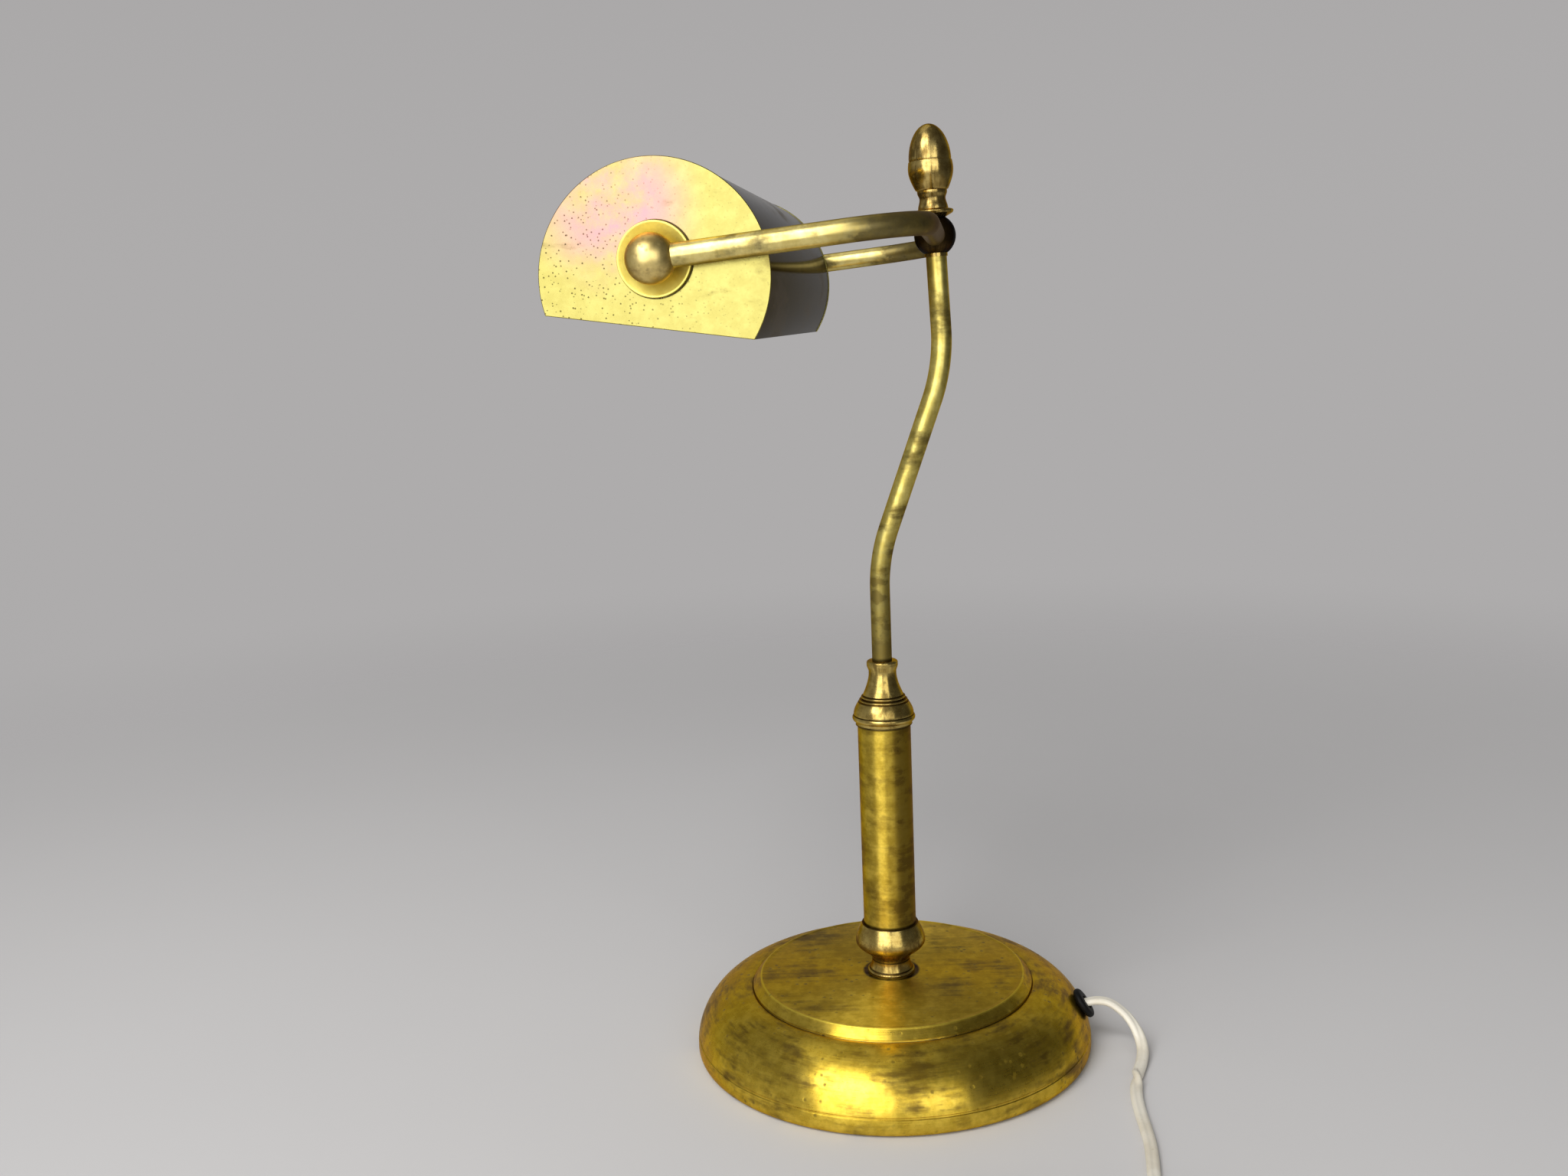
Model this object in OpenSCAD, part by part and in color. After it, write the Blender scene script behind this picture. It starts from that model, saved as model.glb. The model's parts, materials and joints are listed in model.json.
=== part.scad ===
// Brass desk lamp with a trough shade, in millimetres.
// The origin is on the table under the column. X runs along the shade, -Y is the shade's side
// and +Y the side where the cord leaves the base.

/* [Base] */
// Widest diameter of the spun base
base_d = 205; // [190:1:230]
// Radius of the dome's quarter-round side
dome_r = 29.5; // [26:0.5:34]
// Height of the widest part of the dome above the table
dome_foot = 4; // [3.5:0.5:8]
// Step from the dome up to the top disc
step_h = 5; // [3:0.5:7]
// Flat ring between the dome and the step
step_gap = 0.5; // [0.5:0.5:4]
// Bevel all round the step's upper edge
step_round = 4.2; // [1.5:0.1:6]
// Sheet thickness of the base
base_wall = 1.2; // [0.8:0.1:1.4]
// Height of the rim above the table
rim_lift = 0.8; // [0.5:0.1:1]
// How far the rim is drawn in under the dome
rim_in = 1.9; // [1:0.1:3]
// Thickness of the felt under the base
felt_t = 1; // [1:0.1:2]
// Thickness of the board that closes the base
cover_t = 1.5; // [1:0.1:2]
// Diameter of the iron weight
weight_d = 168; // [152:1:170]
// Thickness of the iron weight's disc
weight_t = 11.5; // [10:0.5:12]
// Diameter of the weight's boss under the top disc
weight_boss_d = 56; // [40:1:60]

/* [Column] */
// Outer diameter of the column tube
column_d = 27; // [24:0.5:28]
// Wall of the column tube
column_wall = 1; // [0.8:0.1:2]
// Length of column that shows between its foot and its collar
column_len = 106; // [60:1:200]
// Diameter of the foot's flange on the base
foot_flange_d = 24.4; // [22:0.2:30]
// Diameter of the foot's neck
foot_neck_d = 19.6; // [16:0.2:21]
// Diameter of the foot's bulge
foot_bulge_d = 36; // [33:0.5:44]
// Wall of the foot's cup round the column tube
foot_lip = 0.9; // [0.6:0.1:2]
// Height of the foot
foot_h = 27; // [24:0.5:34]
// Diameter of the bead at the bottom of the collar
collar_bead_d = 32; // [31.5:0.5:38]
// Diameter of the collar's waist under its mouth
collar_waist_d = 14; // [13:0.2:17]
// Diameter of the lip round the collar's mouth
collar_lip_d = 15.8; // [14.4:0.2:19]
// Height of the collar
collar_h = 33; // [31:0.5:40]
// Diameter of the threaded tube that ties column and base together
rod_d = 10; // [8:0.5:10]
// Bore of the tie tube for the wires
rod_bore = 7; // [5:0.5:7]

/* [Stem] */
// Outer diameter of the stem and fork tubes
tube_d = 10; // [9:0.5:10.5]
// Wall of the stem and fork tubes
tube_wall = 1; // [0.8:0.1:1.5]
// Height of the swivel ball above the collar's mouth
stem_rise = 208; // [180:1:260]
// How far the swivel ball stands behind the column
stem_back = 31.5; // [20:0.5:40]
// Height above the collar at which the stem turns back
stem_turn = 52.3; // [35:0.1:60]
// Slope of the stem's middle run from upright
stem_slope = 20; // [17:0.5:24]
// Forward lean of the stem's top
stem_lean = 2.5; // [0:0.1:4]
// Bend radius of the stem
stem_bend_r = 90; // [60:1:100]

/* [Fork] */
// Diameter of the swivel ball
hub_d = 20; // [19:0.2:26]
// Distance from the swivel ball to the shade's pivots
fork_reach = 111.7; // [100:0.1:150]
// Dip of the fork towards the shade
fork_dip = 5.2; // [0:0.1:8]
// Bend radius of the fork's corners
fork_bend_r = 34; // [25:1:45]
// Diameter of the ball at each shade pivot
pivot_d = 21; // [20:0.5:25]
// Diameter of the flat on each pivot ball
pivot_seat_d = 11.5; // [11:0.5:14]
// Diameter of the pivot studs
stud_d = 6; // [5:0.5:6]
// Thickness of a pivot nut
nut_t = 5; // [3:0.5:5]
// Width across flats of a pivot nut
nut_af = 10; // [9:0.5:11]
// Diameter of a pivot washer
washer_d = 14; // [12:0.5:15]
// Thickness of a pivot washer
washer_t = 1.2; // [0.8:0.1:1.6]

/* [Finial] */
// Diameter of the finial's flange
finial_flange_d = 19.2; // [16:0.2:22]
// Diameter of the finial's neck
finial_neck_d = 12.5; // [11:0.2:13]
// Widest diameter of the finial's cup
finial_cup_d = 21.6; // [20:0.2:26]
// Height of the seam between cup and acorn above the ball's centre
finial_seam = 34.8; // [33:0.2:40]
// Diameter of the acorn at the seam
acorn_d = 20.3; // [18:0.2:20.6]
// Height of the acorn above the seam
acorn_h = 17.3; // [14:0.1:24]

/* [Shade] */
// Length of the shade over its end plates
shade_len = 250; // [220:1:300]
// Outer radius of the shade
shade_r = 48.5; // [46:0.5:56]
// Sheet thickness of the shade and its end plates
shade_wall = 0.8; // [0.6:0.1:1.2]
// Height of the pivots above the shade's own axis
pivot_rise = 7.5; // [4:0.1:9]
// Depth of the open edge below the shade's own axis
shade_drop = 20.5; // [18:0.5:26]
// How far the end plates stand out past the shell
plate_lip = 0.4; // [0.2:0.1:1]
// Turn of the shade about its pivots, open side towards the front
shade_tilt = 8.5; // [0:0.5:20]
// Diameter of the dished cups under the pivot balls
cup_d = 31.4; // [28:0.2:34]
// Depth of the dished cups
cup_depth = 3.2; // [2.6:0.1:4]
// Sheet thickness of the dished cups
cup_t = 1.15; // [0.8:0.05:1.4]

/* [Lampholder and bulb] */
// Thickness of the bracket that carries the lampholder
bracket_t = 1.2; // [1:0.1:2]
// Width of the bracket
bracket_w = 28; // [24:1:34]
// Length of the bracket's shelf
bracket_len = 21; // [20:0.5:30]
// Diameter of the lampholder's threaded nipple
nipple_d = 10; // [8:0.5:10]
// Outer diameter of the lampholder
holder_d = 28; // [24:0.5:30]
// Length of the lampholder's cap
holder_cap_len = 15; // [12:0.5:20]
// Length of the lampholder's barrel
holder_len = 32; // [28:0.5:40]
// Diameter of the bulb's screw cap
bulb_cap_d = 13.6; // [13:0.1:16]
// Length of the bulb's screw cap
bulb_cap_len = 26; // [22:0.5:28]
// Diameter of the bulb's glass
bulb_d = 25; // [20:0.5:30]
// Length of the bulb's glass
bulb_len = 92; // [60:1:110]
// Thickness of the bulb's glass
bulb_wall = 1; // [0.6:0.1:1.4]

/* [Cord] */
// Width of the flat twin cord
cord_w = 6; // [5:0.2:6.2]
// Thickness of the flat twin cord
cord_h = 3.6; // [3:0.1:3.8]
// Height of the cord's exit round the dome, as an angle from its widest part
exit_angle = 34; // [26:1:40]
// Upward slope of the cord where it leaves
exit_slope = 12; // [0:1:20]
// Outer diameter of the rubber grommet
grommet_d = 16; // [15:0.5:20]
// How far the grommet stands out of the dome
grommet_h = 3.6; // [3:0.1:6]
// Diameter of the hole in the dome
grommet_hole_d = 10.4; // [10:0.1:12]
// Turns in the coil of spare cord
coil_turns = 6; // [4:2:8]
// Radius of the coil at the middle of its turns
coil_r = 36; // [34:0.5:40]
// Step from one turn of the coil to the next
coil_pitch = 6.9; // [6.9:0.1:7.4]
// Step from one layer of the coil to the next
coil_layer = 4.4; // [4.4:0.1:5]
// Thickness of the tie round the coil
tie_t = 0.5; // [0.4:0.1:0.8]
// Width of the tie round the coil
tie_w = 8; // [5:0.5:12]

/* [Switch] */
// Length of the cord switch
switch_len = 56; // [52:1:70]
// Width of the cord switch
switch_w = 25; // [22:0.5:26]
// Thickness of the cord switch
switch_h = 15; // [14:0.5:18]
// Height of the cord where it enters the switch
switch_cord_z = 4.4; // [4:0.1:5]
// Length of the rocker
rocker_len = 16; // [13:0.5:17]
// Width of the rocker
rocker_w = 10; // [8:0.5:11]
// Diameter of the rocker's pivot pin
rocker_pin_d = 3; // [2:0.2:3]
// Lean of the rocker to each side
rocker_lean = 8; // [5:0.5:8]

/* [Plug] */
// Width of the plug at its pins
plug_w = 35.3; // [33:0.1:37]
// Thickness of the plug
plug_t = 13.7; // [12:0.1:15]
// Length of the plug's body
plug_len = 37; // [30:0.5:40]
// Width of the plug at the cord
plug_tail_w = 18; // [14:0.5:22]
// Diameter of the plug's pins
pin_d = 4; // [3.6:0.1:4.8]
// Length of pin that stands out of the plug
pin_len = 19; // [17:0.5:20]
// Distance between the plug's pins
pin_pitch = 18.6; // [16:0.1:20]

/* [Fits] */
// Radial clearance of parts that turn on each other
run_fit = 0.05; // [0.02:0.01:0.08]
// Radial clearance of parts that are screwed or pushed together
seat_fit = 0.05; // [0.02:0.01:0.1]
// Clearance of loose parts, such as boards and blocks
loose_fit = 0.2; // [0.1:0.05:0.4]

/* [Hidden] */
$fn = 64;

// Colours of the pieces
brass = [0.72, 0.58, 0.20];
worn_brass = [0.58, 0.45, 0.16];
pale_brass = [0.84, 0.76, 0.42];
iron = [0.25, 0.25, 0.27];
steel = [0.66, 0.67, 0.69];
felt_green = [0.16, 0.24, 0.18];
board_brown = [0.42, 0.33, 0.22];
rubber_black = [0.05, 0.05, 0.05];
ivory = [0.90, 0.88, 0.80];
phenolic = [0.12, 0.09, 0.07];
frosted = [0.93, 0.93, 0.90];

// Heights of the stand, from the table up
base_h = dome_foot + dome_r + step_h;
base_r = base_d / 2;
dome_cr = base_r - dome_r;
step_r = dome_cr - step_gap;
step_edge_r = min(step_round, step_h - 0.3);
cover_z = felt_t;
weight_z = cover_z + cover_t;
weight_top = weight_z + weight_t;
rod_hole_r = rod_d / 2 + loose_fit;
recess_h = 9;
recess_r = 14;
rod_end_z = weight_z + 2;
rod_washer_t = 1.5;
rod_nut_t = 4;
rod_nut_af = rod_d + 4;
rod_washer_z = weight_z + recess_h - rod_washer_t;
rod_nut_z = rod_washer_z - rod_nut_t;
foot_flange_t = 1.8;
foot_neck_z = 7;
foot_bulge_z = 17;
foot_socket = 8.5;
foot_rim_r = column_d / 2 + foot_lip;
column_z = base_h + foot_h - foot_socket;
collar_z = base_h + foot_h + column_len;
collar_socket = 4.5;
collar_skirt_r = column_d / 2 + foot_lip;
collar_top = collar_z + collar_h;
stem_depth = 15;
stem_z = collar_top - stem_depth;
rod_top_z = stem_z - 1.5;

// Swivel ball, pivots and the stem that carries them
tube_bore = tube_d - 2 * tube_wall;
bend_swell = 0.06;
bend_lap = 0.05;
hub_y = stem_back;
hub_z = collar_top + stem_rise;
ring_r = tube_d / 2 + 0.5;
ring_t = 1.6;
hub_flat = sqrt(pow(hub_d / 2, 2) - pow(ring_r + 0.1, 2));
spindle_r = tube_bore / 2 - seat_fit;
spindle_depth = 14;
spindle_top = finial_seam + 9;
hub_bore_r = spindle_r + run_fit;
hub_web = 1;
arm_start = hub_bore_r + hub_web;
pivot_flat = sqrt(pow(pivot_d / 2, 2) - pow(pivot_seat_d / 2, 2));
arm_x = shade_len / 2 + cup_t + run_fit + pivot_flat;
arm_web = 2.2;
arm_end = stud_d / 2 + arm_web;
stud_foot = stud_d / 2 + 1;
stud_end = 2;
pivot_y = hub_y - fork_reach * cos(fork_dip);
pivot_z = hub_z - fork_reach * sin(fork_dip);
stem_lower_vertex = [0, collar_top + stem_turn];
stem_vertex_y = (stem_back + (hub_z - stem_lower_vertex[1]) * tan(stem_lean))
    / (1 + tan(stem_lean) / tan(stem_slope));
stem_upper_vertex = [stem_vertex_y, stem_lower_vertex[1] + stem_vertex_y / tan(stem_slope)];
stem_lower_tangent = stem_bend_r * tan(stem_slope / 2);
stem_upper_tangent = stem_bend_r * tan((stem_slope + stem_lean) / 2);
stem_runs = [
    [stem_lower_vertex[1] - stem_z - stem_lower_tangent, stem_slope],
    [norm(stem_upper_vertex - stem_lower_vertex) - stem_lower_tangent - stem_upper_tangent,
        -stem_slope - stem_lean],
    [norm([hub_y, hub_z] - stem_upper_vertex) - stem_upper_tangent - hub_flat - ring_t, 0]
];
arm_runs = [
    [arm_x - fork_bend_r - arm_start, 90],
    [fork_reach - fork_bend_r - arm_end, 0]
];

// Shade, lampholder and bulb, along X from the far end plate
plate_in = shade_len / 2 - shade_wall;
bulb_z = -pivot_rise;
bracket_x = -plate_in;
bracket_low = -shade_drop - pivot_rise + 4;
bracket_high = -washer_d / 2 - 2.5;
bracket_face = bracket_x + bracket_len;
holder_nut_t = 4;
holder_nut_af = nipple_d + 4;
holder_x = bracket_face;
barrel_x = holder_x + holder_cap_len;
barrel_floor = 6;
bulb_x = barrel_x + barrel_floor;
glass_x = bulb_x + bulb_cap_len;

// Cord exit, grommet and the lead inside the base
exit_normal = [0, cos(exit_angle), sin(exit_angle)];
exit_dir = [0, cos(exit_slope), sin(exit_slope)];
exit_point = [0, dome_cr, dome_foot] + (dome_r + 2) * exit_normal;
grommet_neck_r = grommet_hole_d / 2 - seat_fit;
grommet_inner_r = grommet_neck_r + 1.5;
grommet_inner_t = 2.5;
grommet_inner_z = sqrt(pow(dome_r - base_wall, 2) - pow(grommet_inner_r, 2)) - 0.1;
grommet_bore_r = cord_w / 2 + 0.4;
lead_z = weight_top + cord_h / 2 + 0.1;
terminal_y = weight_boss_d / 2 + 6;
terminal_len = 16;
terminal_w = 18;
terminal_h = 12;
terminal_screw_d = 4;
clamp_len = 10;
clamp_inset = 14;
clamp_y = weight_d / 2 - clamp_inset - clamp_len;
clamp_w = 24;
clamp_top = 2.4;
screw_d = 3;
screw_head_t = 1.8;
screw_grip = 7;
screw_x = 8;

// Cord switch, beside the cord's free run
switch_x = 164;
switch_y = 122;
switch_split = switch_h / 2;
switch_corner = 6;
switch_in = [switch_x, switch_y, switch_cord_z];
switch_out = [switch_x + switch_len, switch_y, switch_cord_z];
rocker_z = switch_h - 3.5;
window_gap = 1;
contact_w = 5;
contact_l = 8;
contact_h = 4;
contact_places = [switch_len / 2 - 12, switch_len / 2 + 12];
switch_screw_y = switch_w / 2 - 5;
switch_screw_places = [switch_corner, switch_len - switch_corner];
switch_screw_grip = 3;
switch_screw_sink = 0.5;
rocker_pin_end = 2;

// Coil of spare cord and plug
coil_lift = tie_t + 0.15;
coil_out = coil_r + coil_pitch * coil_turns / 4;
coil_in = coil_r - coil_pitch * coil_turns / 4;
link_r = 24;
coil_x = switch_out[0] + 4 + link_r - coil_out;
coil_y = switch_y - switch_w / 2 - 6 - coil_out - cord_w / 2;
coil_z = coil_lift + cord_h / 2;
coil_top_z = coil_z + coil_layer;
plug_drop = 44;
plug_y = coil_y - plug_drop;
tail_runs = [12, 26];
tail_dip = 0.2;
plug_x = coil_x + coil_out;
pin_seat = 6;

// Route of the free cord over the table, from the grommet to the switch
cord_lay = cord_h / 2 + 0.1;
cord_points = [
    exit_point, exit_point + 6 * exit_dir,
    [0.5, 110.6, 22.6], [1.5, 115.6, 20.3], [4, 121.4, 15.6], [8.5, 125.8, 9.2],
    [16, 127.2, 4.2], [26, 125.6, 2.3], [37, 122.8, cord_lay], [50, 120.8, cord_lay],
    [62, 120, cord_lay], [76, 120.3, cord_lay], [90, 121.2, cord_lay], [104, 121.8, cord_lay],
    [118, 121.3, cord_lay], [131, 120.6, cord_lay], [144, 121, 2.8],
    switch_in - [7, 0, 0], switch_in
];

// Route of the cord from the switch to the coil
link_mid = [switch_out[0] + 4, switch_y - link_r];
link_points = concat(
    [switch_out, switch_out + [4, 0, 0]],
    [for (a = [75, 60, 45, 30, 15, 0])
        [link_mid[0] + link_r * cos(a), link_mid[1] + link_r * sin(a),
            coil_z + (switch_cord_z - coil_z) * a / 90]],
    [[coil_x + coil_out, coil_y + 12, coil_z], [coil_x + coil_out, coil_y, coil_z]]
);

// Route of the lead inside the base, from the grommet to the terminal block
lead_back = 16;
lead_dip = 0.6;
lead_points = [
    exit_point, exit_point - 8 * exit_dir,
    [0, exit_point[1] - lead_back, (exit_point[2] + lead_z) / 2 - lead_dip],
    [0, clamp_y + clamp_len + 6, lead_z], [0, clamp_y + clamp_len, lead_z],
    [0, clamp_y, lead_z], [0, terminal_y + terminal_len, lead_z]
];

function unit(v) = v / norm(v);

// Points of a circular arc round c, from angle a0 to a1
function arc(c, r, a0, a1, n = 12) =
    [for (i = [0:n]) c + r * [cos(a0 + (a1 - a0) * i / n), sin(a0 + (a1 - a0) * i / n)]];

// Turned S-curve from p to q that starts and ends upright
function ogee(p, q, n = 12) =
    [for (i = [0:n]) [p[0] + (q[0] - p[0]) * (1 - cos(180 * i / n)) / 2, p[1] + (q[1] - p[1]) * i / n]];

// Turned curve that leaves p upright and swings over towards q
function swell(p, q, n = 12) =
    [for (i = [0:n]) [q[0] + (p[0] - q[0]) * cos(90 * i / n), p[1] + (q[1] - p[1]) * i / n]];

// Turned hollow that leaves p aslant and ends upright at q
function cove(p, q, n = 12) =
    [for (i = [0:n]) [q[0] + (p[0] - q[0]) * (1 - sin(90 * i / n)), p[1] + (q[1] - p[1]) * i / n]];

// Point at t between b and c on a smooth curve through a, b, c and d
function blend_point(a, b, c, d, t) =
    0.5 * (2 * b + (c - a) * t + (2 * a - 5 * b + 4 * c - d) * t * t + (3 * b - a - 3 * c + d) * t * t * t);

// Smooth curve through the points p, with n steps between each two
function smooth_path(p, n) = let (
    last = len(p) - 1,
    ends = concat([2 * p[0] - p[1]], p, [2 * p[last] - p[last - 1]])
) concat(
    [for (i = [0:last - 1], j = [0:n - 1])
        blend_point(ends[i], ends[i + 1], ends[i + 2], ends[i + 3], j / n)],
    [p[last]]
);

function path_length(p) = len(p) < 2 ? 0 : [for (i = 1, s = norm(p[1] - p[0]); i < len(p);
    i = i + 1, s = i < len(p) ? s + norm(p[i] - p[i - 1]) : s) s][len(p) - 2];

// Direction of a path at its point i
function heading(p, i) = unit(p[min(i + 1, len(p) - 1)] - p[max(i - 1, 0)]);

// Ring of the flat cord round point i of its path, widest across
function cord_ring(p, i, sides) = let (
    ahead = heading(p, i),
    across = unit(cross(ahead, [0, 0, 1])),
    up = cross(across, ahead)
) [for (k = [0:sides - 1]) let (a = 360 * k / sides)
    p[i] + across * cord_w / 2 * cos(a) + up * cord_h / 2 * sin(a)];

// Flat cord swept along a path as one closed surface of triangles
module cord_sweep(p, sides) {
    n = len(p);
    points = [for (i = [0:n - 1]) each cord_ring(p, i, sides)];
    walls = [for (i = [0:n - 2], k = [0:sides - 1]) let (
        a = i * sides + k,
        b = i * sides + (k + 1) % sides
    ) each [[a, a + sides, b], [b, a + sides, b + sides]]];
    near_cap = [for (k = [1:sides - 2]) [0, k, k + 1]];
    far_cap = [for (k = [1:sides - 2]) (n - 1) * sides * [1, 1, 1] + [0, k + 1, k]];
    polyhedron(points, concat(walls, near_cap, far_cap));
}

// Round bar or tube section
module ring_section(d, bore) {
    difference() {
        circle(d = d);
        circle(d = bore);
    }
}

// Tube along Z that bends towards +Y by each run's angle after each run's length.
// Its wall is a hair thicker in the bends, and the straight runs lap into them.
module bent_tube(d, bore, bend_r, runs, i = 0) {
    length = runs[i][0];
    bend = runs[i][1];
    lap_in = i > 0 ? bend_lap : 0;
    lap_out = bend != 0 ? bend_lap : 0;
    translate([0, 0, -lap_in]) linear_extrude(lap_in + length + lap_out) ring_section(d, bore);
    if (bend != 0) {
        translate([0, 0, length]) rotate([0, 0, bend < 0 ? 180 : 0]) translate([0, bend_r, 0])
            rotate([90, 0, 0]) rotate([0, -90, 0]) rotate_extrude(angle = abs(bend))
                translate([bend_r, 0]) ring_section(d + bend_swell, bore - bend_swell);
        translate([0, sign(bend) * bend_r * (1 - cos(bend)), length + bend_r * sin(abs(bend))])
            rotate([-bend, 0, 0]) bent_tube(d, bore, bend_r, runs, i + 1);
    }
}

module hex_nut(af, t, bore_r) {
    difference() {
        cylinder(d = af / cos(30), h = t, $fn = 6);
        translate([0, 0, -1]) cylinder(r = bore_r, h = t + 2);
    }
}

module washer(d, t, bore_r) {
    difference() {
        cylinder(d = d, h = t);
        translate([0, 0, -1]) cylinder(r = bore_r, h = t + 2);
    }
}

// Block with its upright edges rounded
module soft_block(size, corner) {
    linear_extrude(size[2]) polygon(concat(
        arc([size[0] - corner, size[1] / 2 - corner], corner, 0, 90, 6),
        arc([corner, size[1] / 2 - corner], corner, 90, 180, 6),
        arc([corner, corner - size[1] / 2], corner, 180, 270, 6),
        arc([size[0] - corner, corner - size[1] / 2], corner, 270, 360, 6)
    ));
}

// Places: the cord's exit, the swivel ball, a pivot ball, the shade and the switch
module at_exit() {
    translate([0, dome_cr, dome_foot]) rotate([exit_angle - 90, 0, 0]) children();
}

module at_hub() {
    translate([0, hub_y, hub_z]) rotate([stem_lean, 0, 0]) children();
}

// Pivot on one side, with +Z from the ball's centre towards the shade
module at_pivot(side) {
    translate([0, pivot_y, pivot_z]) mirror([side < 0 ? 1 : 0, 0, 0])
        translate([arm_x, 0, 0]) rotate([0, -90, 0]) children();
}

module at_shade() {
    translate([0, pivot_y, pivot_z]) rotate([-shade_tilt, 0, 0]) children();
}

module at_switch() {
    translate([switch_x, switch_y, 0]) children();
}

module base_outline() {
    groove_z = dome_foot + dome_r;
    bevel_inside = base_wall * tan(22.5);
    rim = [for (i = [0:6]) [base_r - rim_in * (1 - cos(15 * i - 90)),
        dome_foot + (dome_foot - rim_lift) * sin(15 * i - 90)]];
    rim_inside = [for (p = rim) [p[0] - base_wall, p[1]]];
    polygon(concat(
        rim,
        arc([dome_cr, dome_foot], dome_r, 0, 90, 24),
        [[step_r, groove_z]],
        [[step_r, base_h - step_edge_r], [step_r - step_edge_r, base_h]],
        [[rod_hole_r, base_h], [rod_hole_r, base_h - base_wall]],
        [[step_r - step_edge_r - bevel_inside, base_h - base_wall],
            [step_r - base_wall, base_h - step_edge_r - bevel_inside]],
        [[step_r - base_wall, groove_z - base_wall]],
        arc([dome_cr, dome_foot], dome_r - base_wall, 90, 0, 24),
        [for (i = [len(rim_inside) - 1:-1:0]) rim_inside[i]]
    ));
}

module base_shell() {
    color(brass) difference() {
        rotate_extrude($fn = 128) base_outline();
        at_exit() cylinder(d = grommet_hole_d, h = dome_r + 10);
    }
}

module base_weight() {
    color(iron) difference() {
        union() {
            translate([0, 0, weight_z]) cylinder(d = weight_d, h = weight_t);
            translate([0, 0, weight_z]) cylinder(d = weight_boss_d, h = base_h - base_wall - weight_z);
        }
        cylinder(r = rod_hole_r, h = base_h);
        translate([0, 0, weight_z - 1]) cylinder(r = recess_r, h = recess_h + 1);
        for (x = [-screw_x, screw_x]) {
            translate([x, clamp_y + clamp_len / 2, weight_top - screw_grip - 1])
                cylinder(d = screw_d + 2 * seat_fit, h = screw_grip + 2);
        }
    }
}

module base_cover() {
    color(board_brown) translate([0, 0, cover_z])
        cylinder(r = base_r - rim_in - base_wall - loose_fit, h = cover_t, $fn = 128);
}

module felt_pad() {
    color(felt_green) cylinder(r = base_r - rim_in - base_wall - loose_fit - 1, h = felt_t, $fn = 128);
}

module tie_rod() {
    color(steel) translate([0, 0, rod_end_z]) linear_extrude(rod_top_z - rod_end_z)
        ring_section(rod_d, rod_bore);
}

module rod_washer() {
    color(steel) translate([0, 0, rod_washer_z]) washer(2 * recess_r - 3, rod_washer_t, rod_hole_r);
}

module rod_nut() {
    color(steel) translate([0, 0, rod_nut_z]) hex_nut(rod_nut_af, rod_nut_t, rod_d / 2 + seat_fit);
}

module column_foot() {
    flange_r = foot_flange_d / 2;
    neck = [foot_neck_d / 2, foot_neck_z];
    bulge = [foot_bulge_d / 2, foot_bulge_z];
    rim = [foot_rim_r, foot_h];
    socket_r = column_d / 2 + seat_fit;
    edge_r = foot_flange_t / 2;
    edge_turn = 60;
    flange_step = 1;
    color(brass) translate([0, 0, base_h]) rotate_extrude($fn = 96) polygon(concat(
        [[rod_hole_r, 0], [flange_r, 0]],
        arc([flange_r - edge_r, edge_r], edge_r, -edge_turn, edge_turn, 6),
        cove([flange_r - flange_step, foot_flange_t], neck),
        ogee(neck, bulge),
        swell(bulge, rim),
        [[socket_r, foot_h], [socket_r, foot_h - foot_socket], [rod_hole_r, foot_h - foot_socket]]
    ));
}

module column_tube() {
    color(brass) translate([0, 0, column_z])
        linear_extrude(collar_z + collar_socket - column_z)
            ring_section(column_d, column_d - 2 * column_wall);
}

module column_collar() {
    bead_r = 1.8;
    bead_z = 3.7;
    bead_low = -75;
    bead_high = 40;
    bead_in = collar_bead_d / 2 - bead_r;
    shoulder_r = collar_bead_d / 2 - 0.7;
    shoulder_z = 5.4;
    shoulder_h = 6.6;
    groove = 1;
    ring_out = shoulder_r - 3;
    ring_h = 1.2;
    ring_z = shoulder_z + shoulder_h;
    second_out = ring_out - 1;
    second_z = ring_z + ring_h + 0.5;
    neck = [second_out - groove, second_z + ring_h + 0.5];
    lip_r = collar_lip_d / 2;
    lip_roll = 1.1;
    waist = [collar_waist_d / 2, collar_h - 5.8];
    mouth_r = tube_d / 2 + seat_fit;
    rod_r = rod_d / 2 + seat_fit;
    socket_r = column_d / 2 + seat_fit;
    color(brass) translate([0, 0, collar_z]) rotate_extrude($fn = 96) polygon(concat(
        [[socket_r, 0], [collar_skirt_r, 0], [collar_skirt_r, bead_z - bead_r]],
        arc([bead_in, bead_z], bead_r, bead_low, bead_high, 10),
        [[shoulder_r - 0.3, shoulder_z - 0.3]],
        swell([shoulder_r, shoulder_z], [ring_out + 0.4, ring_z], 10),
        [[ring_out, ring_z + 0.1], [ring_out, ring_z + ring_h],
            [ring_out - groove - 0.3, ring_z + ring_h + 0.2], [second_out, second_z],
            [second_out, second_z + ring_h], [neck[0] - 0.2, second_z + ring_h + 0.2]],
        cove(neck, waist),
        ogee(waist, [lip_r, collar_h - 2 * lip_roll], 6),
        arc([lip_r - lip_roll, collar_h - lip_roll], lip_roll, 0, 90, 6),
        [[mouth_r, collar_h], [mouth_r, collar_h - stem_depth], [rod_r, collar_h - stem_depth],
            [rod_r, collar_socket], [socket_r, collar_socket]]
    ));
}

module stem_tube() {
    color(brass) translate([0, 0, stem_z]) bent_tube(tube_d, tube_bore, stem_bend_r, stem_runs);
}

// Threaded spindle in the stem's end that carries the swivel ball and the finial
module stem_nipple() {
    color(worn_brass) at_hub() union() {
        translate([0, 0, -hub_flat - ring_t - spindle_depth])
            cylinder(r = spindle_r, h = spindle_depth + ring_t + hub_flat + spindle_top);
        translate([0, 0, -hub_flat - ring_t]) cylinder(r = ring_r, h = ring_t);
    }
}

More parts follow.
